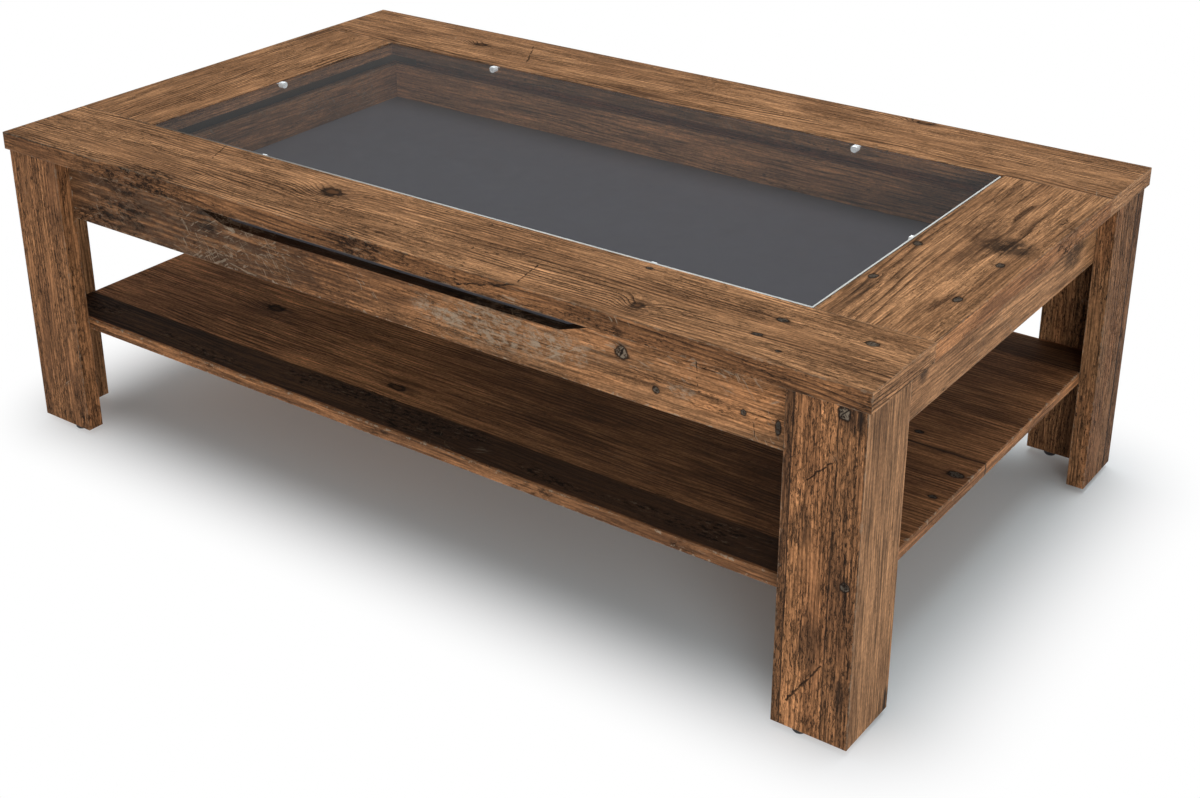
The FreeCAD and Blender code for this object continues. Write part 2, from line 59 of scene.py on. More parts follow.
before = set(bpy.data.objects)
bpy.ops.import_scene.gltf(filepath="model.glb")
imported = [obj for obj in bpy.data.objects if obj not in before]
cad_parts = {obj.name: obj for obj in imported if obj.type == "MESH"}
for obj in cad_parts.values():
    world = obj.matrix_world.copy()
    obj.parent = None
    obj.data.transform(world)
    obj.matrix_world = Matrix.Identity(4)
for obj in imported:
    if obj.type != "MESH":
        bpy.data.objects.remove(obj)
cad_box = [list(corner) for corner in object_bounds()]
WHITE = (1.0, 1.0, 1.0, 1.0)

# What is laid on a board; places and sizes are in metres, sizes are half sizes
Mark = namedtuple("Mark", "place size")
Nail = namedtuple("Nail", "place size shine")
Cloud = namedtuple("Cloud", "place size colour share")
Scuff = namedtuple("Scuff", "place size share")
Crack = namedtuple("Crack", "start end width")
Plank = namedtuple("Plank", "axis low high share")
Edge = namedtuple("Edge", "axis tone scabs")
Shade = namedtuple("Shade", "axis clear full share")
Tone = namedtuple("Tone", "light mid")

# Smooth steps that start earlier where there is more of an amount
Onset = namedtuple("Onset", "start fall width")

# Noise patterns, with waves per metre along, across and through the grain. The smooth step that goes with one
# says where it starts and ends, and what it leads from and to if not from 0 to 1.
Pattern = namedtuple("Pattern", "waves detail roughness step", defaults=(None,))
DRIFT = Pattern((1.6, 9.0, 9.0), 3.0, 0.5)
RIPPLE = Pattern((7.0, 60.0, 60.0), 3.0, 0.5)
STRENGTH = Pattern((4.0, 40.0, 40.0), 3.0, 0.5, (0.36, 0.62, 0.15, 1.0))
MOTTLE = Pattern((6.0, 26.0, 26.0), 5.0, 0.62, (0.36, 0.64))
STREAK = Pattern((5.0, 150.0, 150.0), 4.0, 0.62, (0.30, 0.70, 0.72, 1.26))
FIBRE = Pattern((22.0, 560.0, 560.0), 5.0, 0.68, (0.30, 0.70, 0.38, 1.56))
GRIT = Pattern((230.0, 420.0, 420.0), 2.0, 0.6, (0.30, 0.70, 0.80, 1.20))
FLECK = Pattern((95.0, 430.0, 430.0), 3.0, 0.7, Onset(0.63, -0.08, 0.05))
CRAZE = Pattern((40.0, 220.0, 220.0), 5.0, 0.7, (0.030, 0.006))
CLUSTER = Pattern((9.0, 45.0, 45.0), 4.0, 0.6, Onset(0.56, -0.24, 0.10))
PATCH = Pattern((7.0, 22.0, 22.0), 4.0, 0.6, Onset(0.78, -0.42, 0.13))
PIT = Pattern((95.0, 230.0, 230.0), 3.0, 0.72, (0.50, 0.58))
CRUMB = PIT._replace(step=(0.41, 0.33))
SCRATCH = Pattern((32.0, 400.0, 400.0), 1.0, 0.5, (0.62, 0.69))
SCRATCH_BEND = Pattern((40.0, 40.0, 40.0), 2.0, 0.5)
SCRATCH_PATCH = Pattern((9.0, 14.0, 14.0), 2.0, 0.5, Onset(0.75, -0.38, 0.12))
SCUFF = Pattern((70.0, 110.0, 110.0), 6.0, 0.78, (0.45, 0.60))
SMUDGE = SCUFF._replace(step=(0.28, 0.52))
SMOKE = Pattern((14.0, 150.0, 150.0), 4.0, 0.65, (0.36, 0.60))
BORDER = Pattern((30.0, 120.0, 120.0), 3.0, 0.5)
NAIL_RUST = Pattern((300.0, 300.0, 300.0), 3.0, 0.7, (0.38, 0.56))
RAGGED = Pattern((90.0, 90.0, 90.0), 4.0, 0.65)
CHIPPED = Pattern((130.0, 130.0, 130.0), 4.0, 0.7, (0.52, 0.75, 0.0, 3.5))
RUBBED = CHIPPED._replace(step=(0.3, 0.7, 0.2, 1.6))
SMEAR = Pattern((6.0, 14.0, 6.0), 4.0, 0.6, (0.5, 0.75, 0.0, 0.02))

# Other smooth steps
RING_RISE = (0.40, 0.90)
RING_FALL = (1.0, 0.94)
HALO_STEP = (2.3, 0.9)
KNOT_STEP = (1.0, 0.65)
KNOT_HEART_STEP = (0.50, 0.25)
NAIL_HOLE_STEP = (1.3, 0.95)
NAIL_HEAD_STEP = (0.95, 0.75)
WOOD_ROUGHNESS = (-1.0, 0.6, 0.88, 0.62)
EVEN_STEP = (0.3, 0.7)
# Where the painted shade of the glass edge sets in, along X
GLASS_EDGE_SHADE_STEP = (-0.45, 0.10)
CEILING_STEP = (0.14, 0.26)

# How far knots and patterns shift the grain, scratches, plank borders, cracks and outlines of marks
DRIFT_REACH = 0.05
RIPPLE_REACH = 0.006
KNOT_REACH = 0.016
SCRATCH_REACH = 0.012
BORDER_REACH = 0.003
CRACK_REACH = 0.007
RAGGED_REACH = 1.3

# Other values of the grain and the marks
SWELL_FALL = -0.28
SCRATCH_TURNS = (0.15, -0.55, 0.95)
SCRATCH_SEED = 2.7
CRACK_WAVES = 90.0
CRACK_DETAIL = 3.0
CRACK_CORE = 0.4
PLANK_BORDER = 0.0012
MARK_DEPTH = 0.03
EDGE_SORE = 0.02
FACING = 0.7
HEART_BESIDE = 0.06
HEART_BELOW = 0.05

# How much of its colour a mark lays on
FLECK_SHARE = 0.85
PLANK_SHARE = 0.85
PATCH_SHARE = 0.30
PIT_SHARE = 0.85
CRUMB_SHARE = 0.30
SCRATCH_SHARE = 0.52
KNOT_SMOKE_SHARE = 0.65
KNOT_SHARE = 0.85
KNOT_HEART_SHARE = 0.35
NAIL_SMOKE_SHARE = 0.6
NAIL_HOLE_SHARE = 0.92
NAIL_HEAD_SHARE = 0.8
CRACK_SHARE = 0.85
RUBBED_SHARE = 0.16

# What a sore adds to the pits, and a scuff to the scratches
SORE_PITS = 0.5
SCUFF_SCRATCHES = 0.4

# Heights of the relief, as shares of its depth
LINE_HEIGHT = -0.5
FIBRE_HEIGHT = 0.6
FLECK_HEIGHT = -0.9
PIT_DEPTH = 1.2
KNOT_DEPTH = 0.8
NAIL_DEPTH = 0.9
CRACK_DEPTH = 1.5

# Plain finishes
Finish = namedtuple("Finish", "spread waves roughness relief metallic", defaults=(0.0,))
PANEL_FINISH = Finish(0.12, 900.0, 0.55, 0.0001)
ANTHRACITE_FINISH = Finish(0.05, 700.0, 0.5, 0.00005)
GLASS_EDGE_FINISH = Finish(0.04, 600.0, 0.4, 0.00003)
PIN_FINISH = Finish(0.03, 400.0, 0.12, 0.00003)
RUNNER_FINISH = Finish(0.08, 1500.0, 0.42, 0.00006)
ROLLER_FINISH = Finish(0.05, 1200.0, 0.45, 0.00004)
ZINC_FINISH = Finish(0.10, 2200.0, 0.34, 0.00003, 1.0)
BEECH_FINISH = Finish(0.14, 900.0, 0.6, 0.00008)
GLIDE_FINISH = Finish(0.2, 1400.0, 0.5, 0.00005)

# Surfaces
WOOD_GLOSS = 0.09
WOOD_BUMP = 0.8
MOULDED_BUMP = 0.5
MOULDED_BROADER = 25
MOULDED_FINE_SHARE = 0.6
MOULDED_ROUGHNESS_SPREAD = 0.12
GLASS_IOR = 1.5
PIN_CLEARNESS = 0.1
# Strength of the pins' painted glow: light of their own, standing in for light caught in the clear plastic
PIN_PAINTED_GLOW = 0.22
UPRIGHT = 0.1
FLAT = 0.99

# Stage
FLOOR_SIDES = 96
FLOOR_ROUGHNESS = 0.9
SHADOW_MIDDLE = (0.01, 0.02, 0.0)
SHADOW_INSET = (0.06, 0.08)
SHADOW_FADE = (0.0, 0.20)
COOL_FADE = (0.0, 0.15)
KEY_PLACE = (0.3, 0.45, 3.3)
KEY_AIM = (0.0, 0.0, 0.2)
KEY_SIZE = 2.5
FILL_PLACE = (2.3, -2.3, 0.65)
FILL_AIM = (0.0, 0.0, 0.25)
FILL_SIZE = 1.5

# How the grain axes of a board follow the frame's axes
GRAIN_ORDER = {"X": "XYZ", "Y": "YZX", "Z": "ZXY"}


# Values that a user would change

def tint(name, description, default):
    """A colour that a user can change."""
    return FloatVectorProperty(name=name, description=description, subtype="COLOR", default=default,
                               min=0, max=1)


class WoodColours(bpy.types.PropertyGroup):
    """Colours of the printed old-wood decor."""
    light: tint("Light grain", "Lightest brown of the top's decor", (0.400, 0.208, 0.098))
    mid: tint("Middle brown", "Main brown of the decor", (0.255, 0.128, 0.059))
    warm: tint("Warm brown", "Orange brown of the drawer front and edges", (0.420, 0.194, 0.082))
    rust: tint("Rust brown", "Middle brown that goes with the warm one", (0.250, 0.112, 0.048))
    dark: tint("Dark grain", "Dark lines of the grain", (0.066, 0.032, 0.017))
    pit: tint("Pits", "Blackened pits, knots and cracks", (0.014, 0.010, 0.008))
    scraped: tint("Scraped wood", "Pale grey of scrapes and scratches", (0.36, 0.285, 0.205))
    iron: tint("Old nails", "Grey of the printed nail and screw heads", (0.085, 0.072, 0.060))


class WoodSizes(bpy.types.PropertyGroup):
    """Sizes of the decor's grain and wear."""
    ring_spacing: FloatProperty(name="Ring spacing", description="Distance between the lines of the grain",
                                unit="LENGTH", default=0.0042, min=0.001, max=0.05)
    wear_width: FloatProperty(name="Worn edge", description="Width of the rubbed strip along the edges",
                              unit="LENGTH", default=0.0018, min=0.0, max=0.02)
    relief: FloatProperty(name="Relief", description="Depth of the pressed-in grain",
                          unit="LENGTH", default=0.0006, min=0.0, max=0.003)


class OtherColours(bpy.types.PropertyGroup):
    """Colours of the pieces that aren't old wood, and the width of the glass's ground edge."""
    drawer_floor: tint("Drawer floor", "Anthracite of the drawer's bottom", (0.102, 0.102, 0.118))
    panel: tint("Runner panels", "Brown of the panels beside the drawer", (0.085, 0.052, 0.034))
    glass: tint("Glass", "Tint of the glass pane", (0.95, 0.965, 0.97))
    glass_edge: tint("Glass edge", "Ground edge of the glass pane", (0.86, 0.90, 0.88))
    # Painted shade of the glass edge at the pane's left end
    painted_shade_glass_edge: tint("Dull glass edge", "Ground edge at the pane's left end", (0.16, 0.13, 0.10))
    arris: FloatProperty(name="Ground edge", description="Width of the ground bevel round the glass pane",
                         unit="LENGTH", default=0.0011, min=0.0002, max=0.002)
    # This colour is also the colour of the pins' painted glow
    pin: tint("Pins", "Clear plastic of the pins under the glass", (0.92, 0.94, 0.95))
    glide: tint("Glides", "Black plastic under the legs", (0.014, 0.014, 0.015))
    roller: tint("Rollers", "White nylon of the runners' rollers", (0.74, 0.73, 0.69))
    runner: tint("Runners", "Brown coating of the steel runners", (0.15, 0.105, 0.075))
    zinc: tint("Fixings", "Zinc-plated screws, bolts, cams and axles", (0.62, 0.61, 0.57))
    beech: tint("Dowels", "Plain beech of the dowels", (0.56, 0.38, 0.22))


class StageValues(bpy.types.PropertyGroup):
    """Camera, light and floor."""
    camera_place: FloatVectorProperty(name="Camera place", description="Where the camera stands",
                                      subtype="TRANSLATION", default=(1.2030, -1.6067, 1.1164))
    camera_turn: FloatVectorProperty(name="Camera turn", description="How the camera is turned",
                                     subtype="EULER", default=(1.15453, 0.0, 0.61961))
    camera_lens: FloatProperty(name="Lens", description="Focal length in millimetres", unit="CAMERA",
                               default=53.040)
    camera_shift: FloatProperty(name="Rise", description="Vertical shift, as a share of width", default=-0.10)
    ambient: FloatProperty(name="Ambient", description="Strength of the light from all round", default=0.36)
    ceiling: FloatProperty(name="Ceiling", description="Brightness of the mirrored ceiling", default=0.14)
    key_power: FloatProperty(name="Key light", description="Power of the large lamp in watts", default=62.0)
    fill_power: FloatProperty(name="Fill light", description="Power of the low lamp in watts", default=36.0)
    floor_colour: tint("Floor", "Colour of the studio floor", (0.885, 0.920, 0.948))
    floor_under: tint("Floor under the table", "Cooler, against the brown light from the boards",
                      (0.848, 0.935, 0.975))
    floor_radius: FloatProperty(name="Floor radius", description="Size of the studio floor",
                                unit="LENGTH", default=9.0)


# Nodes

class Nodes:
    """Adds nodes to one tree and joins them, so that a recipe reads from top to bottom."""

    def __init__(self, tree):
        self.tree = tree

    def fill(self, socket, value):
        if isinstance(value, bpy.types.NodeSocket):
            self.tree.links.new(value, socket)
        else:
            socket.default_value = value

    def add(self, kind, values=None, output=0, **settings):
        """A node's output; values fill its inputs by name or number."""
        node = self.tree.nodes.new(kind)
        for key, setting in settings.items():
            setattr(node, key, setting)
        for key, value in (values or {}).items():
            self.fill(node.inputs[key], value)
        return node.outputs[output]

    def math(self, operation, a, b=0.0, c=0.0):
        return self.add("ShaderNodeMath", {0: a, 1: b, 2: c}, operation=operation)

    def times(self, a, b):
        return self.math("MULTIPLY", a, b)

    def largest(self, values):
        found = values[0]
        for value in values[1:]:
            found = self.math("MAXIMUM", found, value)
        return found

    def vector(self, operation, a, b=(0.0, 0.0, 0.0)):
        output = 1 if operation in ("LENGTH", "DOT_PRODUCT") else 0
        return self.add("ShaderNodeVectorMath", {0: a, 1: b}, output, operation=operation)

    def parts(self, vector):
        node = self.tree.nodes.new("ShaderNodeSeparateXYZ")
        self.fill(node.inputs[0], vector)
        return dict(zip("XYZ", node.outputs))

    def joined(self, x, y, z):
        return self.add("ShaderNodeCombineXYZ", {0: x, 1: y, 2: z})

    def noise(self, vector, pattern):
        stretched = self.vector("MULTIPLY", vector, pattern.waves)
        return self.add("ShaderNodeTexNoise", {"Vector": stretched, "Scale": 1.0, "Detail": pattern.detail,
                                               "Roughness": pattern.roughness})

    def swing(self, vector, pattern):
        """Noise to both sides of zero."""
        return self.math("SUBTRACT", self.noise(vector, pattern), 0.5)

    def level(self, value, low, high, to_low=0.0, to_high=1.0):
        """A smooth step from one level to another."""
        return self.add("ShaderNodeMapRange", {"Value": value, "From Min": low, "From Max": high,
                                               "To Min": to_low, "To Max": to_high},
                        interpolation_type="SMOOTHSTEP")

    def stepped(self, vector, pattern):
        """Noise, taken through the pattern's own smooth step."""
        return self.level(self.noise(vector, pattern), *pattern.step)

    def onset(self, vector, pattern, amount):
        """Noise, taken through a smooth step that starts earlier where there is more of the amount."""
        start = self.math("MULTIPLY_ADD", amount, pattern.step.fall, pattern.step.start)
        return self.level(self.noise(vector, pattern), start, self.math("ADD", start, pattern.step.width))

    def mix(self, factor, a, b, blend="MIX"):
        return self.add("ShaderNodeMix", {0: factor, 6: a, 7: b}, 2, data_type="RGBA", blend_type=blend)

    def group(self, tree, values):
        """The outputs of a shared node group, by name."""
        node = self.tree.nodes.new("ShaderNodeGroup")
        node.node_tree = tree
        for key, value in values.items():
            self.fill(node.inputs[key], value)
        return node.outputs

    def bump(self, height, strength, distance):
        return self.add("ShaderNodeBump", {"Strength": strength, "Distance": distance, "Height": height})


def rgba(colour):
    return (*colour, 1.0)


def shared_group(name, inputs, outputs, recipe):
    """A shader node group, built once; the recipe gives one value for each output."""
    if name in bpy.data.node_groups:
        return bpy.data.node_groups[name]
    tree = bpy.data.node_groups.new(name, "ShaderNodeTree")
    kinds = {"value": "NodeSocketFloat", "vector": "NodeSocketVector", "colour": "NodeSocketColor"}
    for side, sockets in (("INPUT", inputs), ("OUTPUT", outputs)):
        for kind, titles in sockets.items():
            for title in titles.split():
                tree.interface.new_socket(title, in_out=side, socket_type=kinds[kind])
    source = tree.nodes.new("NodeGroupInput")
    sink = tree.nodes.new("NodeGroupOutput")
    results = recipe(Nodes(tree), source.outputs)
    for title, value in results.items():
        tree.links.new(value, sink.inputs[title])
    return tree


def seeded(n, i):
    """The place, moved by the seed, so that each board has a pattern of its own."""
    return n.vector("ADD", i["Vector"], n.joined(i["Seed"], i["Seed"], i["Seed"]))


# Shared effects of the old-wood decor

def grain_group():
    """Growth rings, fibres and dark flecks of one board."""
    inputs = {"vector": "Vector", "value": "Seed Swell Spacing Heart Depth Tilt Contrast Weather",
              "colour": "Light Mid Dark Pit"}
    outputs = {"colour": "Color", "value": "Height"}

    def recipe(n, i):
        place = seeded(n, i)
        axes = n.parts(i["Vector"])
        side = n.math("SUBTRACT", axes["Y"], i["Heart"])
        below = n.math("ADD", n.math("MULTIPLY_ADD", axes["X"], i["Tilt"], i["Depth"]), axes["Z"])
        radius = n.math("ADD", n.vector("LENGTH", n.joined(side, below, 0.0)), i["Swell"])
        radius = n.math("MULTIPLY_ADD", n.swing(place, DRIFT), DRIFT_REACH, radius)
        radius = n.math("MULTIPLY_ADD", n.swing(place, RIPPLE), RIPPLE_REACH, radius)
        saw = n.math("FRACT", n.math("DIVIDE", radius, i["Spacing"]))
        line = n.times(n.level(saw, *RING_RISE), n.level(saw, *RING_FALL))
        line = n.times(n.times(line, n.stepped(place, STRENGTH)), i["Contrast"])
        colour = n.mix(n.stepped(place, MOTTLE), i["Mid"], i["Light"])
        colour = n.mix(line, colour, i["Dark"])
        fibre = n.noise(place, FIBRE)
        shade = n.times(n.level(fibre, *FIBRE.step), n.stepped(place, STREAK))
        shade = n.times(shade, n.stepped(place, GRIT))
        colour = n.mix(1.0, colour, shade, "MULTIPLY")
        craze = n.level(n.math("ABSOLUTE", n.swing(place, CRAZE)), *CRAZE.step)
        craze = n.times(craze, i["Weather"])
        fleck = n.math("MAXIMUM", n.onset(place, FLECK, i["Weather"]), craze)
        fleck = n.times(fleck, n.onset(place, CLUSTER, i["Weather"]))
        colour = n.mix(n.times(fleck, FLECK_SHARE), colour, i["Pit"])
        height = n.math("MULTIPLY_ADD", line, LINE_HEIGHT, n.times(fibre, FIBRE_HEIGHT))
        height = n.math("MULTIPLY_ADD", fleck, FLECK_HEIGHT, height)
        return {"Color": colour, "Height": height}

    return shared_group("Board grain", inputs, outputs, recipe)


def scab_group():
    """Pitted, blackened patches with pale crumbs."""
    inputs = {"vector": "Vector", "value": "Seed Amount"}
    outputs = {"value": "Pits Crumbs Patch"}

    def recipe(n, i):
        place = seeded(n, i)
        patch = n.onset(place, PATCH, i["Amount"])
        pits = n.times(n.stepped(place, PIT), patch)
        crumbs = n.times(n.stepped(place, CRUMB), patch)
        return {"Pits": pits, "Crumbs": crumbs, "Patch": patch}

    return shared_group("Pitted patches", inputs, outputs, recipe)


def scratch_group():
    """Pale, slightly bent scratches in several directions of a face, in clusters."""
    inputs = {"vector": "Vector Facing", "value": "Seed Amount"}
    outputs = {"value": "Mask"}

    def recipe(n, i):
        place = seeded(n, i)
        bend = n.times(n.noise(place, SCRATCH_BEND), SCRATCH_REACH)
        place = n.vector("ADD", place, n.joined(bend, bend, bend))
        marks = []
        for turn in SCRATCH_TURNS:
            turned = n.add("ShaderNodeVectorRotate", {"Vector": place, "Axis": i["Facing"], "Angle": turn})
            cover = n.onset(turned, SCRATCH_PATCH, i["Amount"])
            marks.append(n.times(n.stepped(turned, SCRATCH), cover))
        return {"Mask": n.largest(marks)}

    return shared_group("Scratches", inputs, outputs, recipe)


def spot_group():
    """A ragged mark: its distance in units of its half sizes, and masks made from that."""
    inputs = {"vector": "Vector Grain Place Size"}
    outputs = {"value": "Distance Swell Halo Smoke"}

    def recipe(n, i):
        offset = n.vector("DIVIDE", n.vector("SUBTRACT", i["Vector"], i["Place"]), i["Size"])
        wobble = n.swing(i["Vector"], RAGGED)
        distance = n.math("MULTIPLY_ADD", wobble, RAGGED_REACH, n.vector("LENGTH", offset))
        squared = n.vector("DOT_PRODUCT", offset, offset)
        swell = n.math("EXPONENT", n.times(squared, SWELL_FALL))
        halo = n.level(distance, *HALO_STEP)
        smoke = n.times(halo, n.stepped(i["Grain"], SMOKE))
        return {"Distance": distance, "Swell": swell, "Halo": halo, "Smoke": smoke}

    return shared_group("Mark", inputs, outputs, recipe)


def crack_group():
    """A thin wobbling crack between two points."""
    inputs = {"vector": "Vector Start Along", "value": "Width"}
    outputs = {"value": "Mask"}

    def recipe(n, i):
        wobble = n.add("ShaderNodeTexNoise", {"Vector": i["Vector"], "Scale": CRACK_WAVES,
                                              "Detail": CRACK_DETAIL}, 1)
        shaken = n.vector("MULTIPLY", n.vector("SUBTRACT", wobble, (0.5, 0.5, 0.5)), (CRACK_REACH,) * 3)
        offset = n.vector("SUBTRACT", n.vector("ADD", i["Vector"], shaken), i["Start"])
        share = n.math("DIVIDE", n.vector("DOT_PRODUCT", offset, i["Along"]),
                       n.vector("DOT_PRODUCT", i["Along"], i["Along"]))
        share = n.add("ShaderNodeClamp", {0: share})
        run = n.add("ShaderNodeVectorMath", {0: i["Along"], "Scale": share}, operation="SCALE")
        distance = n.vector("LENGTH", n.vector("SUBTRACT", offset, run))
        return {"Mask": n.level(distance, i["Width"], n.times(i["Width"], CRACK_CORE))}

    return shared_group("Crack", inputs, outputs, recipe)


def wear_group():
    """Rubbed and chipped strip along the edges of a board, from the distance to the edges of its box."""
    inputs = {"vector": "Vector Low High", "value": "Width"}
    outputs = {"value": "Rubbed Chips"}

    def recipe(n, i):
        low = n.parts(n.vector("SUBTRACT", i["Vector"], i["Low"]))
        high = n.parts(n.vector("SUBTRACT", i["High"], i["Vector"]))
        x, y, z = (n.math("MINIMUM", low[axis], high[axis]) for axis in "XYZ")
        middle = n.math("MINIMUM", n.math("MAXIMUM", x, y), z)
        second = n.math("MAXIMUM", n.math("MINIMUM", x, y), middle)
        rubbed = n.times(i["Width"], n.stepped(i["Vector"], RUBBED))
        chipped = n.times(i["Width"], n.stepped(i["Vector"], CHIPPED))
        return {"Rubbed": n.level(second, rubbed, 0.0), "Chips": n.math("LESS_THAN", second, chipped)}

    return shared_group("Edge wear", inputs, outputs, recipe)


# Old-wood boards

def blank_material(name):
    """A material with a lit surface, and the nodes to go on with."""
    material = bpy.data.materials.new(name)
    material.use_nodes = True
    nodes = Nodes(material.node_tree)
    surface = material.node_tree.nodes["Principled BSDF"]
    return material, nodes, surface


def dress(node, material):
    """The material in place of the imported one."""
    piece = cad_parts[node]
    piece.data.materials.clear()
    piece.data.materials.append(material)


class Face:
    """A flat face of a board, on which marks are placed by two numbers."""

    def __init__(self, axis, level):
        self.place = "XYZ".index(axis)
        self.level = level

    def filled(self, pair, value):
        """Three numbers from two, with a value put in for the face's own axis."""
        return (*pair[:self.place], value, *pair[self.place:])

    def at(self, *pair):
        """A point of the face."""
        return self.filled(pair, self.level)

    def lay(self, kind, *rows):
        """Marks of a kind, from rows of their place, their half sizes and what else they need."""
        return [kind(self.at(*row[:2]), self.filled(row[2:4], MARK_DEPTH), *row[4:]) for row in rows]

    def cracks(self, *rows):
        """Cracks, from rows of their start, their end and their width."""
        return [Crack(self.at(*row[:2]), self.at(*row[2:4]), row[4]) for row in rows]


class Decor:
    """The old-wood decor of one board, laid on in layers."""

    def __init__(self, node, axis, seed):
        self.node = node
        self.axis = axis
        self.seed = seed
        self.wood = bpy.context.scene.wood_colours
        self.sizes = bpy.context.scene.wood_sizes
        self.material, self.n, self.surface = blank_material(node + "_decor")
        texture = self.n.tree.nodes.new("ShaderNodeTexCoord")
        self.place = texture.outputs["Object"]
        self.parts = self.n.parts(self.place)
        self.facing = self.n.parts(texture.outputs["Normal"])
        self.grain = self.along_grain(self.parts)

    def faces(self, axis):
        """One on the faces that look along an axis."""
        return self.n.math("GREATER_THAN", self.n.math("ABSOLUTE", self.facing[axis]), FACING)

    def along_grain(self, parts):
        """A vector's parts in the order in which X runs along the grain, also on the board's ends."""
        order = GRAIN_ORDER[self.axis]
        sides = self.n.joined(*(parts[letter] for letter in order))
        ends = self.n.joined(*(parts[letter] for letter in GRAIN_ORDER[order[1]]))
        return self.n.add("ShaderNodeMix", {0: self.faces(self.axis), 4: sides, 5: ends}, 1,
                          data_type="VECTOR")

    def spot(self, mark):
        return self.n.group(spot_group(), {"Vector": self.place, "Grain": self.grain, "Place": mark.place,
                                           "Size": mark.size})

    def paint(self, mask, share, colour):
        """Lays a colour over the mask."""
        self.colour = self.n.mix(self.n.times(mask, share), self.colour, rgba(colour))

    def press(self, mask, depth):
        """Presses the mask into the surface."""
        self.height = self.n.math("MULTIPLY_ADD", mask, -depth, self.height)

    def lay_grain(self, tone, spacing, contrast, weather, tilt, heart, depth, knots, edge):
        """The grain, bent round the knots; the edge has a tone of its own, which on the drawer front is
        painted shade.
        """
        n = self.n
        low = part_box(self.node)[0]
        order = GRAIN_ORDER[self.axis]
        if heart is None:
            heart = low["XYZ".index(order[1])] - HEART_BESIDE
        if depth is None:
            depth = HEART_BELOW - low["XYZ".index(order[2])]
        swell = 0.0
        for knot in knots:
            swell = n.math("MULTIPLY_ADD", self.spot(knot)["Swell"], KNOT_REACH, swell)
        light = rgba(tone.light)
        mid = rgba(tone.mid)
        if edge:
            light = n.mix(self.faces(edge.axis), light, rgba(edge.tone.light))
            mid = n.mix(self.faces(edge.axis), mid, rgba(edge.tone.mid))
        board = n.group(grain_group(), {
            "Vector": self.grain, "Seed": self.seed, "Swell": swell, "Heart": heart, "Depth": depth,
            "Tilt": tilt, "Spacing": self.sizes.ring_spacing * spacing, "Contrast": contrast,
            "Weather": weather,
            "Light": light, "Mid": mid, "Dark": rgba(self.wood.dark), "Pit": rgba(self.wood.pit)})
        self.colour = board["Color"]
        self.height = board["Height"]

    def lay_planks(self, planks):
        """Darkens strips of a board, so that it looks made of several planks."""
        n = self.n
        wobble = n.swing(self.grain, BORDER)
        for plank in planks:
            border = min(PLANK_BORDER, (plank.high - plank.low) / 4)
            across = n.math("MULTIPLY_ADD", wobble, BORDER_REACH, self.parts[plank.axis])
            mask = n.times(n.level(across, plank.low - border, plank.low + border),
                           n.level(across, plank.high + border, plank.high - border))
            darker = n.mix(PLANK_SHARE, self.colour, rgba(self.wood.pit))
            self.colour = n.mix(n.times(mask, plank.share), self.colour, darker)

    def lay_shades(self, shades):
        """Darkens a board slowly along an axis."""
        for shade in shades:
            slope = self.n.level(self.parts[shade.axis], shade.clear, shade.full)
            self.paint(slope, shade.share, self.wood.dark)

    def lay_clouds(self, clouds):
        """Streaky stains; on the shelf, a streaky patch of painted shade."""
        for cloud in clouds:
            self.paint(self.spot(cloud)["Smoke"], cloud.share, cloud.colour)

    def lay_smudges(self, smudges):
        """Dark rubbed spots that don't follow the grain."""
        rubs = self.n.stepped(self.grain, SMUDGE)
        for smudge in smudges:
            mask = self.n.times(self.spot(smudge)["Halo"], rubs)
            self.paint(mask, smudge.share, smudge.colour)

    def lay_scabs(self, amount, sores, edge):
        """Pitted patches, more of them on the edge and round the sores."""
        n = self.n
        if edge:
            amount = n.math("MULTIPLY_ADD", self.faces(edge.axis), edge.scabs - amount, amount)
        for sore in sores:
            amount = n.math("MULTIPLY_ADD", self.spot(sore)["Halo"], SORE_PITS, amount)
        scabs = n.group(scab_group(), {"Vector": self.grain, "Seed": self.seed, "Amount": amount})
        self.paint(scabs["Patch"], PATCH_SHARE, self.wood.dark)
        self.paint(scabs["Pits"], PIT_SHARE, self.wood.pit)
        self.paint(scabs["Crumbs"], CRUMB_SHARE, self.wood.scraped)
        self.press(scabs["Pits"], PIT_DEPTH)

    def lay_scuffs(self, scratches, scuffs):
        """Scraped patches, and scratches that are denser round them."""
        n = self.n
        streaks = n.stepped(self.grain, SCUFF)
        for scuff in scuffs:
            halo = self.spot(scuff)["Halo"]
            scratches = n.math("MULTIPLY_ADD", halo, SCUFF_SCRATCHES, scratches)
            self.paint(n.times(halo, streaks), scuff.share, self.wood.scraped)
        lines = n.group(scratch_group(), {"Vector": self.grain, "Facing": self.along_grain(self.facing),
                                          "Seed": self.seed + SCRATCH_SEED, "Amount": scratches})
        self.paint(lines["Mask"], SCRATCH_SHARE, self.wood.scraped)

    def lay_knots(self, knots):
        for knot in knots:
            spot = self.spot(knot)
            core = self.n.level(spot["Distance"], *KNOT_STEP)
            heart = self.n.level(spot["Distance"], *KNOT_HEART_STEP)
            self.paint(spot["Smoke"], KNOT_SMOKE_SHARE, self.wood.dark)
            self.paint(core, KNOT_SHARE, self.wood.pit)
            self.paint(heart, KNOT_HEART_SHARE, self.wood.rust)
            self.press(core, KNOT_DEPTH)

    def lay_nails(self, nails):
        """Nail and screw heads, each in a dark hole."""
        n = self.n
        rust = n.stepped(self.place, NAIL_RUST)
        for nail in nails:
            spot = self.spot(nail)
            hole = n.level(spot["Distance"], *NAIL_HOLE_STEP)
            head = n.times(n.level(spot["Distance"], *NAIL_HEAD_STEP), rust)
            iron = tuple(a + (b - a) * nail.shine for a, b in zip(self.wood.iron, self.wood.scraped))
            self.paint(spot["Smoke"], NAIL_SMOKE_SHARE, self.wood.dark)
            self.paint(hole, NAIL_HOLE_SHARE, self.wood.pit)
            self.paint(head, NAIL_HEAD_SHARE, iron)
            self.press(hole, NAIL_DEPTH)

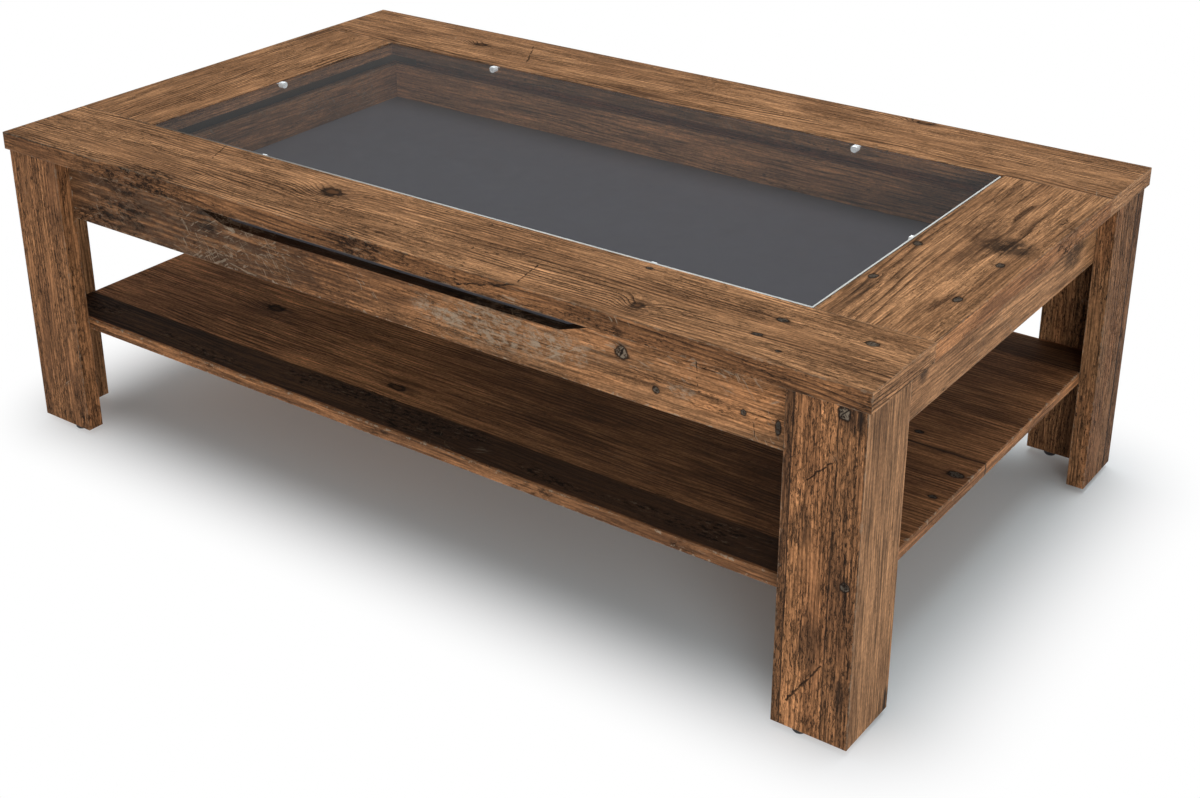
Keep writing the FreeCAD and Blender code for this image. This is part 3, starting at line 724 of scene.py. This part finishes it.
    def lay_cracks(self, cracks):
        for crack in cracks:
            along = tuple(end - start for start, end in zip(crack.start, crack.end))
            mask = self.n.group(crack_group(), {"Vector": self.place, "Start": crack.start, "Along": along,
                                                "Width": crack.width})["Mask"]
            self.paint(mask, CRACK_SHARE, self.wood.pit)
            self.press(mask, CRACK_DEPTH)

    def wear_edges(self, chips):
        low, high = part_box(self.node)
        wear = self.n.group(wear_group(), {"Vector": self.place, "Low": low, "High": high,
                                           "Width": self.sizes.wear_width})
        self.paint(wear["Rubbed"], RUBBED_SHARE, self.wood.scraped)
        self.paint(wear["Chips"], chips, self.wood.scraped)

    def finish(self):
        n = self.n
        n.fill(self.surface.inputs["Base Color"], self.colour)
        n.fill(self.surface.inputs["Roughness"], n.level(self.height, *WOOD_ROUGHNESS))
        self.surface.inputs["Specular IOR Level"].default_value = WOOD_GLOSS
        n.fill(self.surface.inputs["Normal"], n.bump(self.height, WOOD_BUMP, self.sizes.relief))
        dress(self.node, self.material)


def old_wood(node, axis, seed, tone, spacing=1.0, contrast=0.6, weather=0.4, scabs=0.3, scratches=0.25,
             tilt=0.03, heart=None, depth=None, edge=None, chips=0.2, knots=(), nails=(), cracks=(),
             planks=(), shades=(), clouds=(), smudges=(), scuffs=(), sores=()):
    """Dresses one board; the marks' places are in the frame's metres."""
    decor = Decor(node, axis, seed)
    decor.lay_grain(tone, spacing, contrast, weather, tilt, heart, depth, knots, edge)
    decor.lay_planks(planks)
    decor.lay_shades(shades)
    decor.lay_clouds(clouds)
    decor.lay_smudges(smudges)
    decor.lay_scabs(scabs, sores, edge)
    decor.lay_scuffs(scratches, scuffs)
    decor.lay_knots(knots)
    decor.lay_nails(nails)
    decor.lay_cracks(cracks)
    decor.wear_edges(chips)
    decor.finish()


def toned(tone, share):
    """A tone, lighter or darker by a share."""
    return Tone(*(tuple(min(1.0, share * part) for part in colour) for colour in tone))


def brown():
    """Plain brown tone of the decor."""
    wood = bpy.context.scene.wood_colours
    return Tone(wood.light, wood.mid)


def orange():
    """Warmer tone of the decor."""
    wood = bpy.context.scene.wood_colours
    return Tone(wood.warm, wood.rust)


def russet():
    """Darker warm tone of the top's front edge."""
    return toned(orange(), 0.68)


# Plain finishes

def moulded(name, colour, finish):
    """A plain finish with fine unevenness in colour, gloss and surface."""
    material, n, surface = blank_material(name)
    place = n.tree.nodes.new("ShaderNodeTexCoord").outputs["Object"]
    fine = n.noise(place, Pattern((finish.waves,) * 3, 4.0, 0.6))
    broad = n.noise(place, Pattern((finish.waves / MOULDED_BROADER,) * 3, 2.0, 0.5))
    tone = n.math("MULTIPLY_ADD", fine, MOULDED_FINE_SHARE, n.times(broad, 1 - MOULDED_FINE_SHARE))
    darker = rgba(tuple(part * (1 - finish.spread) for part in colour))
    lighter = rgba(tuple(min(1.0, part * (1 + finish.spread)) for part in colour))
    n.fill(surface.inputs["Base Color"], n.mix(n.level(tone, *EVEN_STEP), darker, lighter))
    smoother = finish.roughness * (1 - MOULDED_ROUGHNESS_SPREAD)
    rougher = min(1.0, finish.roughness * (1 + MOULDED_ROUGHNESS_SPREAD))
    n.fill(surface.inputs["Roughness"], n.level(broad, *EVEN_STEP, smoother, rougher))
    surface.inputs["Metallic"].default_value = finish.metallic
    n.fill(surface.inputs["Normal"], n.bump(fine, MOULDED_BUMP, finish.relief))
    return material


def nodes_named(*endings):
    return [name for name in sorted(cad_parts) if name.endswith(endings)]


# Operators, one for each group of pieces

class TABLE_OT_dress_top(bpy.types.Operator):
    """Old-wood decor on the four boards of the top"""
    bl_idname = "table.dress_top"
    bl_label = "Top boards"

    def execute(self, context):
        wood = context.scene.wood_colours
        low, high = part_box("top_front_board")
        middle = (low.z + high.z) / 2
        top = Face("Z", high.z)
        front = Face("Y", low.y)
        right = Face("X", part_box("top_right_board")[1].x)
        tone = toned(brown(), 1.14)
        old_wood(
            "top_front_board", "X", 3.1, tone, contrast=1.0, weather=0.55, scabs=0.30, scratches=0.20,
            edge=Edge("Y", russet(), 0.48),
            knots=top.lay(Mark, (-0.125, -0.266, 0.019, 0.014), (0.328, -0.318, 0.010, 0.008)),
            nails=top.lay(
                Nail, (0.460, -0.265, 0.0062, 0.0046, 0.1), (0.554, -0.262, 0.0062, 0.0046, 0.3),
                (0.287, -0.236, 0.004, 0.0028, 0.1), (0.456, -0.306, 0.005, 0.0030, 0.0),
                (0.490, -0.326, 0.003, 0.0022, 0.0)),
            cracks=[
                Crack(front.at(0.128, 0.383), front.at(0.200, high.z), 0.0013),
                Crack(front.at(0.200, high.z), top.at(0.190, -0.296), 0.0011),
                Crack(top.at(-0.318, -0.266), top.at(-0.340, -0.220), 0.0011)],
            sores=[
                Mark(front.at(-0.345, middle), (0.045, EDGE_SORE, EDGE_SORE)),
                Mark(front.at(-0.030, middle), (0.030, EDGE_SORE, EDGE_SORE))])
        screws = ((0.480, -0.018), (0.481, -0.122), (0.575, -0.125), (0.574, -0.022))
        old_wood(
            "top_right_board", "Y", 7.4, tone, spacing=1.3, contrast=0.8, weather=0.45, scabs=0.26,
            scratches=0.2, heart=0.33, depth=-0.555, edge=Edge("X", orange(), 0.35),
            nails=top.lay(Nail, *((*place, 0.0046, 0.0062, 0.15) for place in screws)),
            clouds=top.lay(Cloud, (0.487, -0.165, 0.005, 0.035, wood.pit, 0.6)),
            sores=[Mark(right.at(0.115, middle), (EDGE_SORE, 0.030, EDGE_SORE))],
            smudges=top.lay(
                Cloud, (0.560, 0.026, 0.018, 0.014, wood.pit, 0.85),
                (0.520, 0.048, 0.018, 0.016, wood.dark, 0.50),
                (0.536, -0.012, 0.007, 0.024, wood.dark, 0.60)))
        old_wood(
            "top_back_board", "X", 12.6, tone, contrast=0.95, weather=0.45, scabs=0.28, scratches=0.2,
            edge=Edge("Y", orange(), 0.4),
            knots=top.lay(Mark, (-0.358, 0.289, 0.012, 0.009), (0.312, 0.340, 0.014, 0.005)),
            clouds=top.lay(Cloud, (-0.065, 0.236, 0.04, 0.008, wood.dark, 0.7)),
            cracks=top.cracks((-0.291, 0.325, -0.252, 0.257, 0.0012)))
        old_wood(
            "top_left_board", "Y", 18.2, tone, contrast=1.0, weather=0.5, scabs=0.30, scratches=0.25,
            edge=Edge("X", orange(), 0.4),
            clouds=top.lay(Cloud, (-0.600, 0.190, 0.012, 0.05, wood.dark, 0.8)))
        return {"FINISHED"}


class TABLE_OT_dress_legs(bpy.types.Operator):
    """Old-wood decor on the eight leg boards"""
    bl_idname = "table.dress_legs"
    bl_label = "Leg boards"

    def execute(self, context):
        wood = context.scene.wood_colours
        near = "front_right_leg_front_board"
        low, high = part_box(near)
        front = Face("Y", low.y)
        old_wood(
            near, "Z", 24.3, toned(orange(), 1.16), contrast=0.5, weather=0.85, scabs=0.36, scratches=0.2,
            planks=[
                Plank("X", low.x - 0.01, low.x + 0.008, 0.72),
                Plank("X", low.x + 0.008, low.x + 0.0098, 1.0), Plank("X", 0.567, high.x + 0.01, 0.42),
                Plank("X", 0.5655, 0.567, 0.9)],
            nails=front.lay(
                Nail, (0.572, 0.369, 0.0065, 0.0065, 0.55), (0.583, 0.190, 0.0050, 0.0050, 0.25)),
            clouds=front.lay(
                Cloud, (0.580, 0.366, 0.009, 0.009, wood.pit, 0.9),
                (0.535, 0.237, 0.008, 0.012, wood.pit, 0.6), (0.548, 0.110, 0.011, 0.022, wood.pit, 0.55),
                (0.586, 0.050, 0.008, 0.020, wood.pit, 0.8)),
            cracks=front.cracks(
                (0.538, 0.290, 0.561, 0.316, 0.0012), (0.580, 0.255, 0.584, 0.150, 0.0013),
                (0.528, 0.039, 0.563, 0.093, 0.0014), (0.584, 0.190, 0.592, 0.090, 0.0011),
                (0.569, 0.3655, 0.575, 0.3725, 0.0012)))
        beside = "front_right_leg_side_board"
        side = Face("X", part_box(beside)[1].x)
        old_wood(
            beside, "Z", 31.0, toned(brown(), 0.79), weather=0.06, scabs=0.12, scratches=0.1,
            clouds=side.lay(Cloud, (-0.268, 0.014, 0.006, 0.012, wood.pit, 0.9)))
        old_wood(
            "front_left_leg_front_board", "Z", 36.5, toned(orange(), 0.90), contrast=0.55, weather=0.75,
            scabs=0.42, scratches=0.15,
            cracks=front.cracks(
                (-0.534, 0.256, -0.533, 0.240, 0.0018), (-0.529, 0.233, -0.528, 0.222, 0.0015)))
        dim = Tone(wood.mid, wood.rust)
        plain = {"front_left_leg_side_board": dict(seed=41.2, tone=brown(), weather=0.5, scabs=0.35),
                 "back_left_leg_back_board": dict(seed=47.9, tone=orange(), weather=0.7, scabs=0.42),
                 "back_left_leg_side_board": dict(seed=52.4, tone=brown(), weather=0.5, scabs=0.35),
                 "back_right_leg_back_board": dict(seed=58.3, tone=dim, weather=0.8, scabs=0.50)}
        for node, looks in plain.items():
            old_wood(node, "Z", scratches=0.15, **looks)
        far = "back_right_leg_side_board"
        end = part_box(far)[1].y
        old_wood(
            far, "Z", 63.1, dim, weather=0.7, scabs=0.40, scratches=0.15,
            planks=[Plank("Y", end - 0.022, end - 0.018, 1.0), Plank("Y", end - 0.018, end + 0.01, 0.30)])
        return {"FINISHED"}


class TABLE_OT_dress_aprons(bpy.types.Operator):
    """Old-wood decor on the aprons, and a plain finish on the runner panels"""
    bl_idname = "table.dress_aprons"
    bl_label = "Aprons and runner panels"

    def execute(self, context):
        wood = context.scene.wood_colours
        side = Face("X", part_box("right_apron")[1].x)
        old_wood(
            "right_apron", "Y", 70.7, brown(), contrast=0.35, weather=0.12, scabs=0.28,
            smudges=side.lay(
                Cloud, (-0.188, 0.353, 0.007, 0.010, wood.pit, 0.85),
                (0.195, 0.340, 0.016, 0.012, wood.pit, 0.75)))
        old_wood("left_apron", "Y", 76.1, brown(), weather=0.3, scabs=0.35)
        old_wood("back_apron", "X", 82.8, orange(), weather=0.4, scabs=0.38)
        plain = moulded("plain_brown_board", context.scene.other_colours.panel, PANEL_FINISH)
        for node in nodes_named("_runner_panel"):
            dress(node, plain)
        return {"FINISHED"}


class TABLE_OT_dress_shelf(bpy.types.Operator):
    """Old-wood decor on the shelf, in planks, with painted light and shade"""
    bl_idname = "table.dress_shelf"
    bl_label = "Shelf"

    def execute(self, context):
        wood = context.scene.wood_colours
        low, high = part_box("shelf")
        top = Face("Z", high.z)
        # Painted light and shade: a lighter copy of the warm tone, darkened towards the right end and in a
        # cloud at the front right
        old_wood(
            "shelf", "X", 90.4, toned(orange(), 1.55), spacing=1.2, contrast=0.8, weather=0.30, scabs=0.28,
            scratches=0.2, edge=Edge("Y", toned(orange(), 0.95), 0.58), chips=0.6,
            # Painted shade, darker towards the shelf's right end
            shades=[Shade("X", -0.35, 0.30, 0.46)],
            planks=[
                Plank("Y", low.y + 0.004, -0.266, 1.0), Plank("Y", 0.262, high.y - 0.004, 0.85),
                Plank("Y", -0.0080, -0.0042, 1.0)],
            knots=top.lay(Mark, (-0.339, -0.164, 0.020, 0.010), (-0.065, -0.240, 0.018, 0.008)),
            # Painted shade at the front right, under the drawer
            clouds=top.lay(Cloud, (0.300, -0.200, 0.140, 0.035, wood.dark, 0.45)),
            sores=top.lay(Mark, (0.0, -0.290, 0.7, 0.016)),
            nails=top.lay(
                Nail, (0.557, -0.046, 0.0085, 0.0055, 0.15), (0.483, 0.018, 0.0050, 0.0035, 0.0),
                (0.557, -0.102, 0.0050, 0.0030, 0.0)))
        return {"FINISHED"}


class TABLE_OT_dress_drawer(bpy.types.Operator):
    """Decor on the drawer's front and walls, with painted light and shade, and its anthracite floor"""
    bl_idname = "table.dress_drawer"
    bl_label = "Drawer"

    def execute(self, context):
        wood = context.scene.wood_colours
        front = Face("Y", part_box("drawer_front")[0].y)
        old_wood(
            "drawer_front", "X", 101.3, Tone(wood.warm, wood.mid), weather=0.45, scabs=0.32, scratches=0.45,
            # Painted shade: the faces that look up and down, the notch's cut among them, go near black for
            # the dark gap behind the notch
            tilt=0.01, edge=Edge("Z", Tone(wood.iron, wood.pit), 0.2), chips=0.6,
            nails=front.lay(
                Nail, (0.317, 0.350, 0.0075, 0.0075, 0.6), (0.358, 0.321, 0.0035, 0.0035, 0.2),
                (0.457, 0.327, 0.0035, 0.0035, 0.1), (0.495, 0.322, 0.003, 0.007, 0.0)),
            scuffs=front.lay(
                Scuff, (0.080, 0.330, 0.020, 0.007, 0.65), (0.160, 0.332, 0.045, 0.014, 0.65),
                (0.245, 0.335, 0.022, 0.010, 0.65), (0.387, 0.328, 0.010, 0.004, 0.50),
                (-0.225, 0.357, 0.020, 0.005, 0.65), (-0.300, 0.330, 0.090, 0.050, 0.10)),
            shades=[Shade("X", 0.10, -0.40, 0.45)],
            sores=front.lay(Mark, (-0.460, 0.335, 0.060, 0.035), (-0.250, 0.318, 0.040, 0.008)),
            clouds=front.lay(
                Cloud, (-0.400, 0.335, 0.080, 0.060, wood.dark, 0.95),
                (-0.200, 0.330, 0.080, 0.060, wood.dark, 0.9),
                (-0.010, 0.340, 0.050, 0.040, wood.dark, 0.6),
                (-0.268, 0.351, 0.011, 0.009, wood.pit, 0.9)),
            cracks=front.cracks(
                (0.3145, 0.345, 0.3195, 0.355, 0.0014), (0.403, 0.366, 0.405, 0.340, 0.0008),
                (0.468, 0.318, 0.470, 0.306, 0.0008)))
        # Painted light: the walls take lighter copies of the warm tone, the back wall the lightest, for the
        # light that comes in through the glass
        for seed, node in ((112.0, "drawer_left_side"), (113.0, "drawer_right_side")):
            old_wood(node, "Y", seed, toned(orange(), 1.2), weather=0.3, scabs=0.3, scratches=0.75)
        old_wood("drawer_back", "X", 121.7, toned(orange(), 1.7), weather=0.35, scabs=0.32, scratches=0.35)
        floor = moulded("anthracite_board", context.scene.other_colours.drawer_floor, ANTHRACITE_FINISH)
        dress("drawer_bottom", floor)
        return {"FINISHED"}


class TABLE_OT_lay_glass(bpy.types.Operator):
    """Glass pane with ground edges, and the clear pins that carry it"""
    bl_idname = "table.lay_glass"
    bl_label = "Glass pane and pins"

    def execute(self, context):
        colours = context.scene.other_colours
        pane = bpy.data.objects.new("ground_glass_pane", pane_mesh(*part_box("glass_pane"), colours.arris))
        context.scene.collection.objects.link(pane)
        pane.data.materials.append(clear_glass(colours.glass))
        pane.data.materials.append(ground_edge(colours))
        pane.visible_shadow = False
        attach(pane, "table")
        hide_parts("glass_pane")
        dress("glass_pins", painted_glow_pins(colours.pin))
        return {"FINISHED"}


def pane_mesh(low, high, arris):
    """A flat pane with its edges ground off; the upper ground faces take the second material."""
    mesh = bpy.data.meshes.new("ground_glass_pane")
    shape = bmesh.new()
    bmesh.ops.create_cube(shape, size=1.0)
    bmesh.ops.scale(shape, vec=high - low, verts=shape.verts)
    bmesh.ops.translate(shape, vec=(low + high) / 2, verts=shape.verts)
    bmesh.ops.bevel(shape, geom=shape.edges[:], offset=arris, segments=1, affect="EDGES")
    shape.normal_update()
    for face in shape.faces:
        slopes_up = UPRIGHT < face.normal.z < FLAT
        face.material_index = int(slopes_up)
    shape.to_mesh(mesh)
    shape.free()
    return mesh


def clear_glass(colour):
    """Clear float glass with a trace of wiped smears."""
    material, n, surface = blank_material("clear_glass_pane")
    place = n.tree.nodes.new("ShaderNodeTexCoord").outputs["Object"]
    n.fill(surface.inputs["Roughness"], n.stepped(place, SMEAR))
    surface.inputs["Base Color"].default_value = rgba(colour)
    surface.inputs["IOR"].default_value = GLASS_IOR
    surface.inputs["Transmission Weight"].default_value = 1.0
    return material


def ground_edge(colours):
    """Ground edge of the pane, with painted shade that darkens it towards its left end."""
    material = moulded("ground_glass_edge", colours.glass_edge, GLASS_EDGE_FINISH)
    n = Nodes(material.node_tree)
    base = n.tree.nodes["Principled BSDF"].inputs["Base Color"]
    bright = base.links[0].from_socket
    along = n.parts(n.tree.nodes["Texture Coordinate"].outputs["Object"])["X"]
    # Painted shade: the pale edge darkens towards the left end, where it mirrors darker surroundings
    n.fill(base, n.mix(n.level(along, *GLASS_EDGE_SHADE_STEP), rgba(colours.painted_shade_glass_edge), bright))
    return material


def painted_glow_pins(colour):
    """Clear plastic with a painted glow, standing in for the light that the clear pins catch."""
    material = moulded("clear_pin_plastic", colour, PIN_FINISH)
    plastic = material.node_tree.nodes["Principled BSDF"].inputs
    plastic["Transmission Weight"].default_value = PIN_CLEARNESS
    # Painted glow, in the pins' own colour
    plastic["Emission Color"].default_value = rgba(colour)
    plastic["Emission Strength"].default_value = PIN_PAINTED_GLOW
    return material


class TABLE_OT_dress_runners(bpy.types.Operator):
    """Coated runners, nylon rollers, zinc fixings, beech dowels and black glides"""
    bl_idname = "table.dress_runners"
    bl_label = "Runners, fixings and glides"

    def execute(self, context):
        colours = context.scene.other_colours
        looks = (("brown_coated_steel", colours.runner, RUNNER_FINISH, ("_runner",)),
                 ("white_nylon_roller", colours.roller, ROLLER_FINISH, ("_roller",)),
                 ("zinc_plated_steel", colours.zinc, ZINC_FINISH, ("_bolts", "_cams", "_screws", "_axles")),
                 ("beech_dowel", colours.beech, BEECH_FINISH, ("_dowels",)),
                 ("black_glide_plastic", colours.glide, GLIDE_FINISH, ("_glides",)))
        for name, colour, finish, endings in looks:
            material = moulded(name, colour, finish)
            for node in nodes_named(*endings):
                dress(node, material)
        return {"FINISHED"}


class TABLE_OT_set_stage(bpy.types.Operator):
    """Camera, soft light and a pale floor"""
    bl_idname = "table.set_stage"
    bl_label = "Stage"

    def execute(self, context):
        values = context.scene.stage_values
        lay_floor(values)
        hang_lamp("key_lamp", KEY_PLACE, KEY_AIM, KEY_SIZE, values.key_power)
        hang_lamp("fill_lamp", FILL_PLACE, FILL_AIM, FILL_SIZE, values.fill_power)
        set_world(values)
        set_camera(values)
        context.scene.view_settings.view_transform = "Standard"
        return {"FINISHED"}


# Stage

def lay_floor(values):
    """A pale disc that keeps the table's shadow and turns white further out."""
    mesh = bpy.data.meshes.new("studio_floor")
    shape = bmesh.new()
    bmesh.ops.create_circle(shape, cap_ends=True, radius=values.floor_radius, segments=FLOOR_SIDES)
    shape.to_mesh(mesh)
    shape.free()
    floor = bpy.data.objects.new("studio_floor", mesh)
    bpy.context.scene.collection.objects.link(floor)
    material, n, surface = blank_material("studio_floor_paint")
    surface.inputs["Roughness"].default_value = FLOOR_ROUGHNESS
    surface.inputs["Specular IOR Level"].default_value = 0.0
    place = n.tree.nodes.new("ShaderNodeTexCoord").outputs["Object"]
    offset = n.vector("ABSOLUTE", n.vector("SUBTRACT", place, SHADOW_MIDDLE))
    half_size = (cad_box[1][0] - SHADOW_INSET[0], cad_box[1][1] - SHADOW_INSET[1], 0.0)
    beyond = n.vector("MAXIMUM", n.vector("SUBTRACT", offset, half_size), (0.0, 0.0, 0.0))
    away = n.vector("LENGTH", beyond)
    paint = n.mix(n.level(away, *COOL_FADE), rgba(values.floor_under), rgba(values.floor_colour))
    n.fill(surface.inputs["Base Color"], paint)
    glow = n.add("ShaderNodeEmission", {"Color": WHITE, "Strength": 1.0})
    both = n.add("ShaderNodeMixShader", {0: n.level(away, *SHADOW_FADE), 1: surface.outputs[0], 2: glow})
    n.fill(n.tree.nodes["Material Output"].inputs["Surface"], both)
    mesh.materials.append(material)


def hang_lamp(name, place, aim, size, power):
    """A soft round lamp that neither shows nor mirrors in the glass."""
    lamp = bpy.data.lights.new(name, "AREA")
    lamp.shape = "DISK"
    lamp.size = size
    lamp.energy = power
    piece = bpy.data.objects.new(name, lamp)
    piece.location = place
    piece.rotation_euler = (Vector(aim) - Vector(place)).to_track_quat("-Z", "Y").to_euler()
    piece.visible_camera = False
    piece.visible_glossy = False
    piece.visible_transmission = False
    bpy.context.scene.collection.objects.link(piece)


def set_world(values):
    """Soft light from all round; camera, gloss and glass see white, with a grey ceiling in reflections."""
    world = bpy.data.worlds.new("studio")
    world.use_nodes = True
    bpy.context.scene.world = world
    n = Nodes(world.node_tree)
    rays = n.tree.nodes.new("ShaderNodeLightPath").outputs
    mirrored = n.math("ADD", rays["Is Glossy Ray"], rays["Is Transmission Ray"])
    seen = n.math("ADD", rays["Is Camera Ray"], mirrored)
    seen = n.times(n.math("MINIMUM", seen, 1.0), n.math("LESS_THAN", rays["Diffuse Depth"], 0.5))
    height = n.parts(n.tree.nodes.new("ShaderNodeTexCoord").outputs["Generated"])["Z"]
    backdrop = n.math("MAXIMUM", n.level(height, *CEILING_STEP, 1.0, values.ceiling), rays["Is Camera Ray"])
    soft = n.tree.nodes["Background"]
    soft.inputs["Color"].default_value = WHITE
    soft.inputs["Strength"].default_value = values.ambient
    white = n.add("ShaderNodeBackground", {"Color": WHITE, "Strength": backdrop})
    both = n.add("ShaderNodeMixShader", {0: seen, 1: soft.outputs[0], 2: white})
    n.fill(n.tree.nodes["World Output"].inputs["Surface"], both)


def set_camera(values):
    camera = bpy.data.cameras.new("camera")
    camera.lens = values.camera_lens
    camera.shift_y = values.camera_shift
    piece = bpy.data.objects.new("camera", camera)
    piece.location = values.camera_place
    piece.rotation_euler = values.camera_turn
    bpy.context.scene.collection.objects.link(piece)
    bpy.context.scene.camera = piece


# Panel and registration

STEPS = (TABLE_OT_dress_top, TABLE_OT_dress_legs, TABLE_OT_dress_aprons, TABLE_OT_dress_shelf,
         TABLE_OT_dress_drawer, TABLE_OT_lay_glass, TABLE_OT_dress_runners, TABLE_OT_set_stage)


class TABLE_PT_dressing(bpy.types.Panel):
    """Lists the steps that dress the table"""
    bl_idname = "TABLE_PT_dressing"
    bl_label = "Display coffee table"
    bl_space_type = "VIEW_3D"
    bl_region_type = "UI"
    bl_category = "Table"

    def draw(self, context):
        for step in STEPS:
            self.layout.operator(step.bl_idname)


VALUES = {"wood_colours": WoodColours, "wood_sizes": WoodSizes, "other_colours": OtherColours,
          "stage_values": StageValues}
CLASSES = (*VALUES.values(), *STEPS, TABLE_PT_dressing)


def register():
    for kind in CLASSES:
        bpy.utils.register_class(kind)
    for name, kind in VALUES.items():
        setattr(bpy.types.Scene, name, PointerProperty(type=kind))


def unregister():
    for name in VALUES:
        delattr(bpy.types.Scene, name)
    for kind in reversed(CLASSES):
        bpy.utils.unregister_class(kind)


def main():
    register()
    for step in STEPS:
        group, name = step.bl_idname.split(".")
        getattr(getattr(bpy.ops, group), name)()


if __name__ == "__main__":
    main()
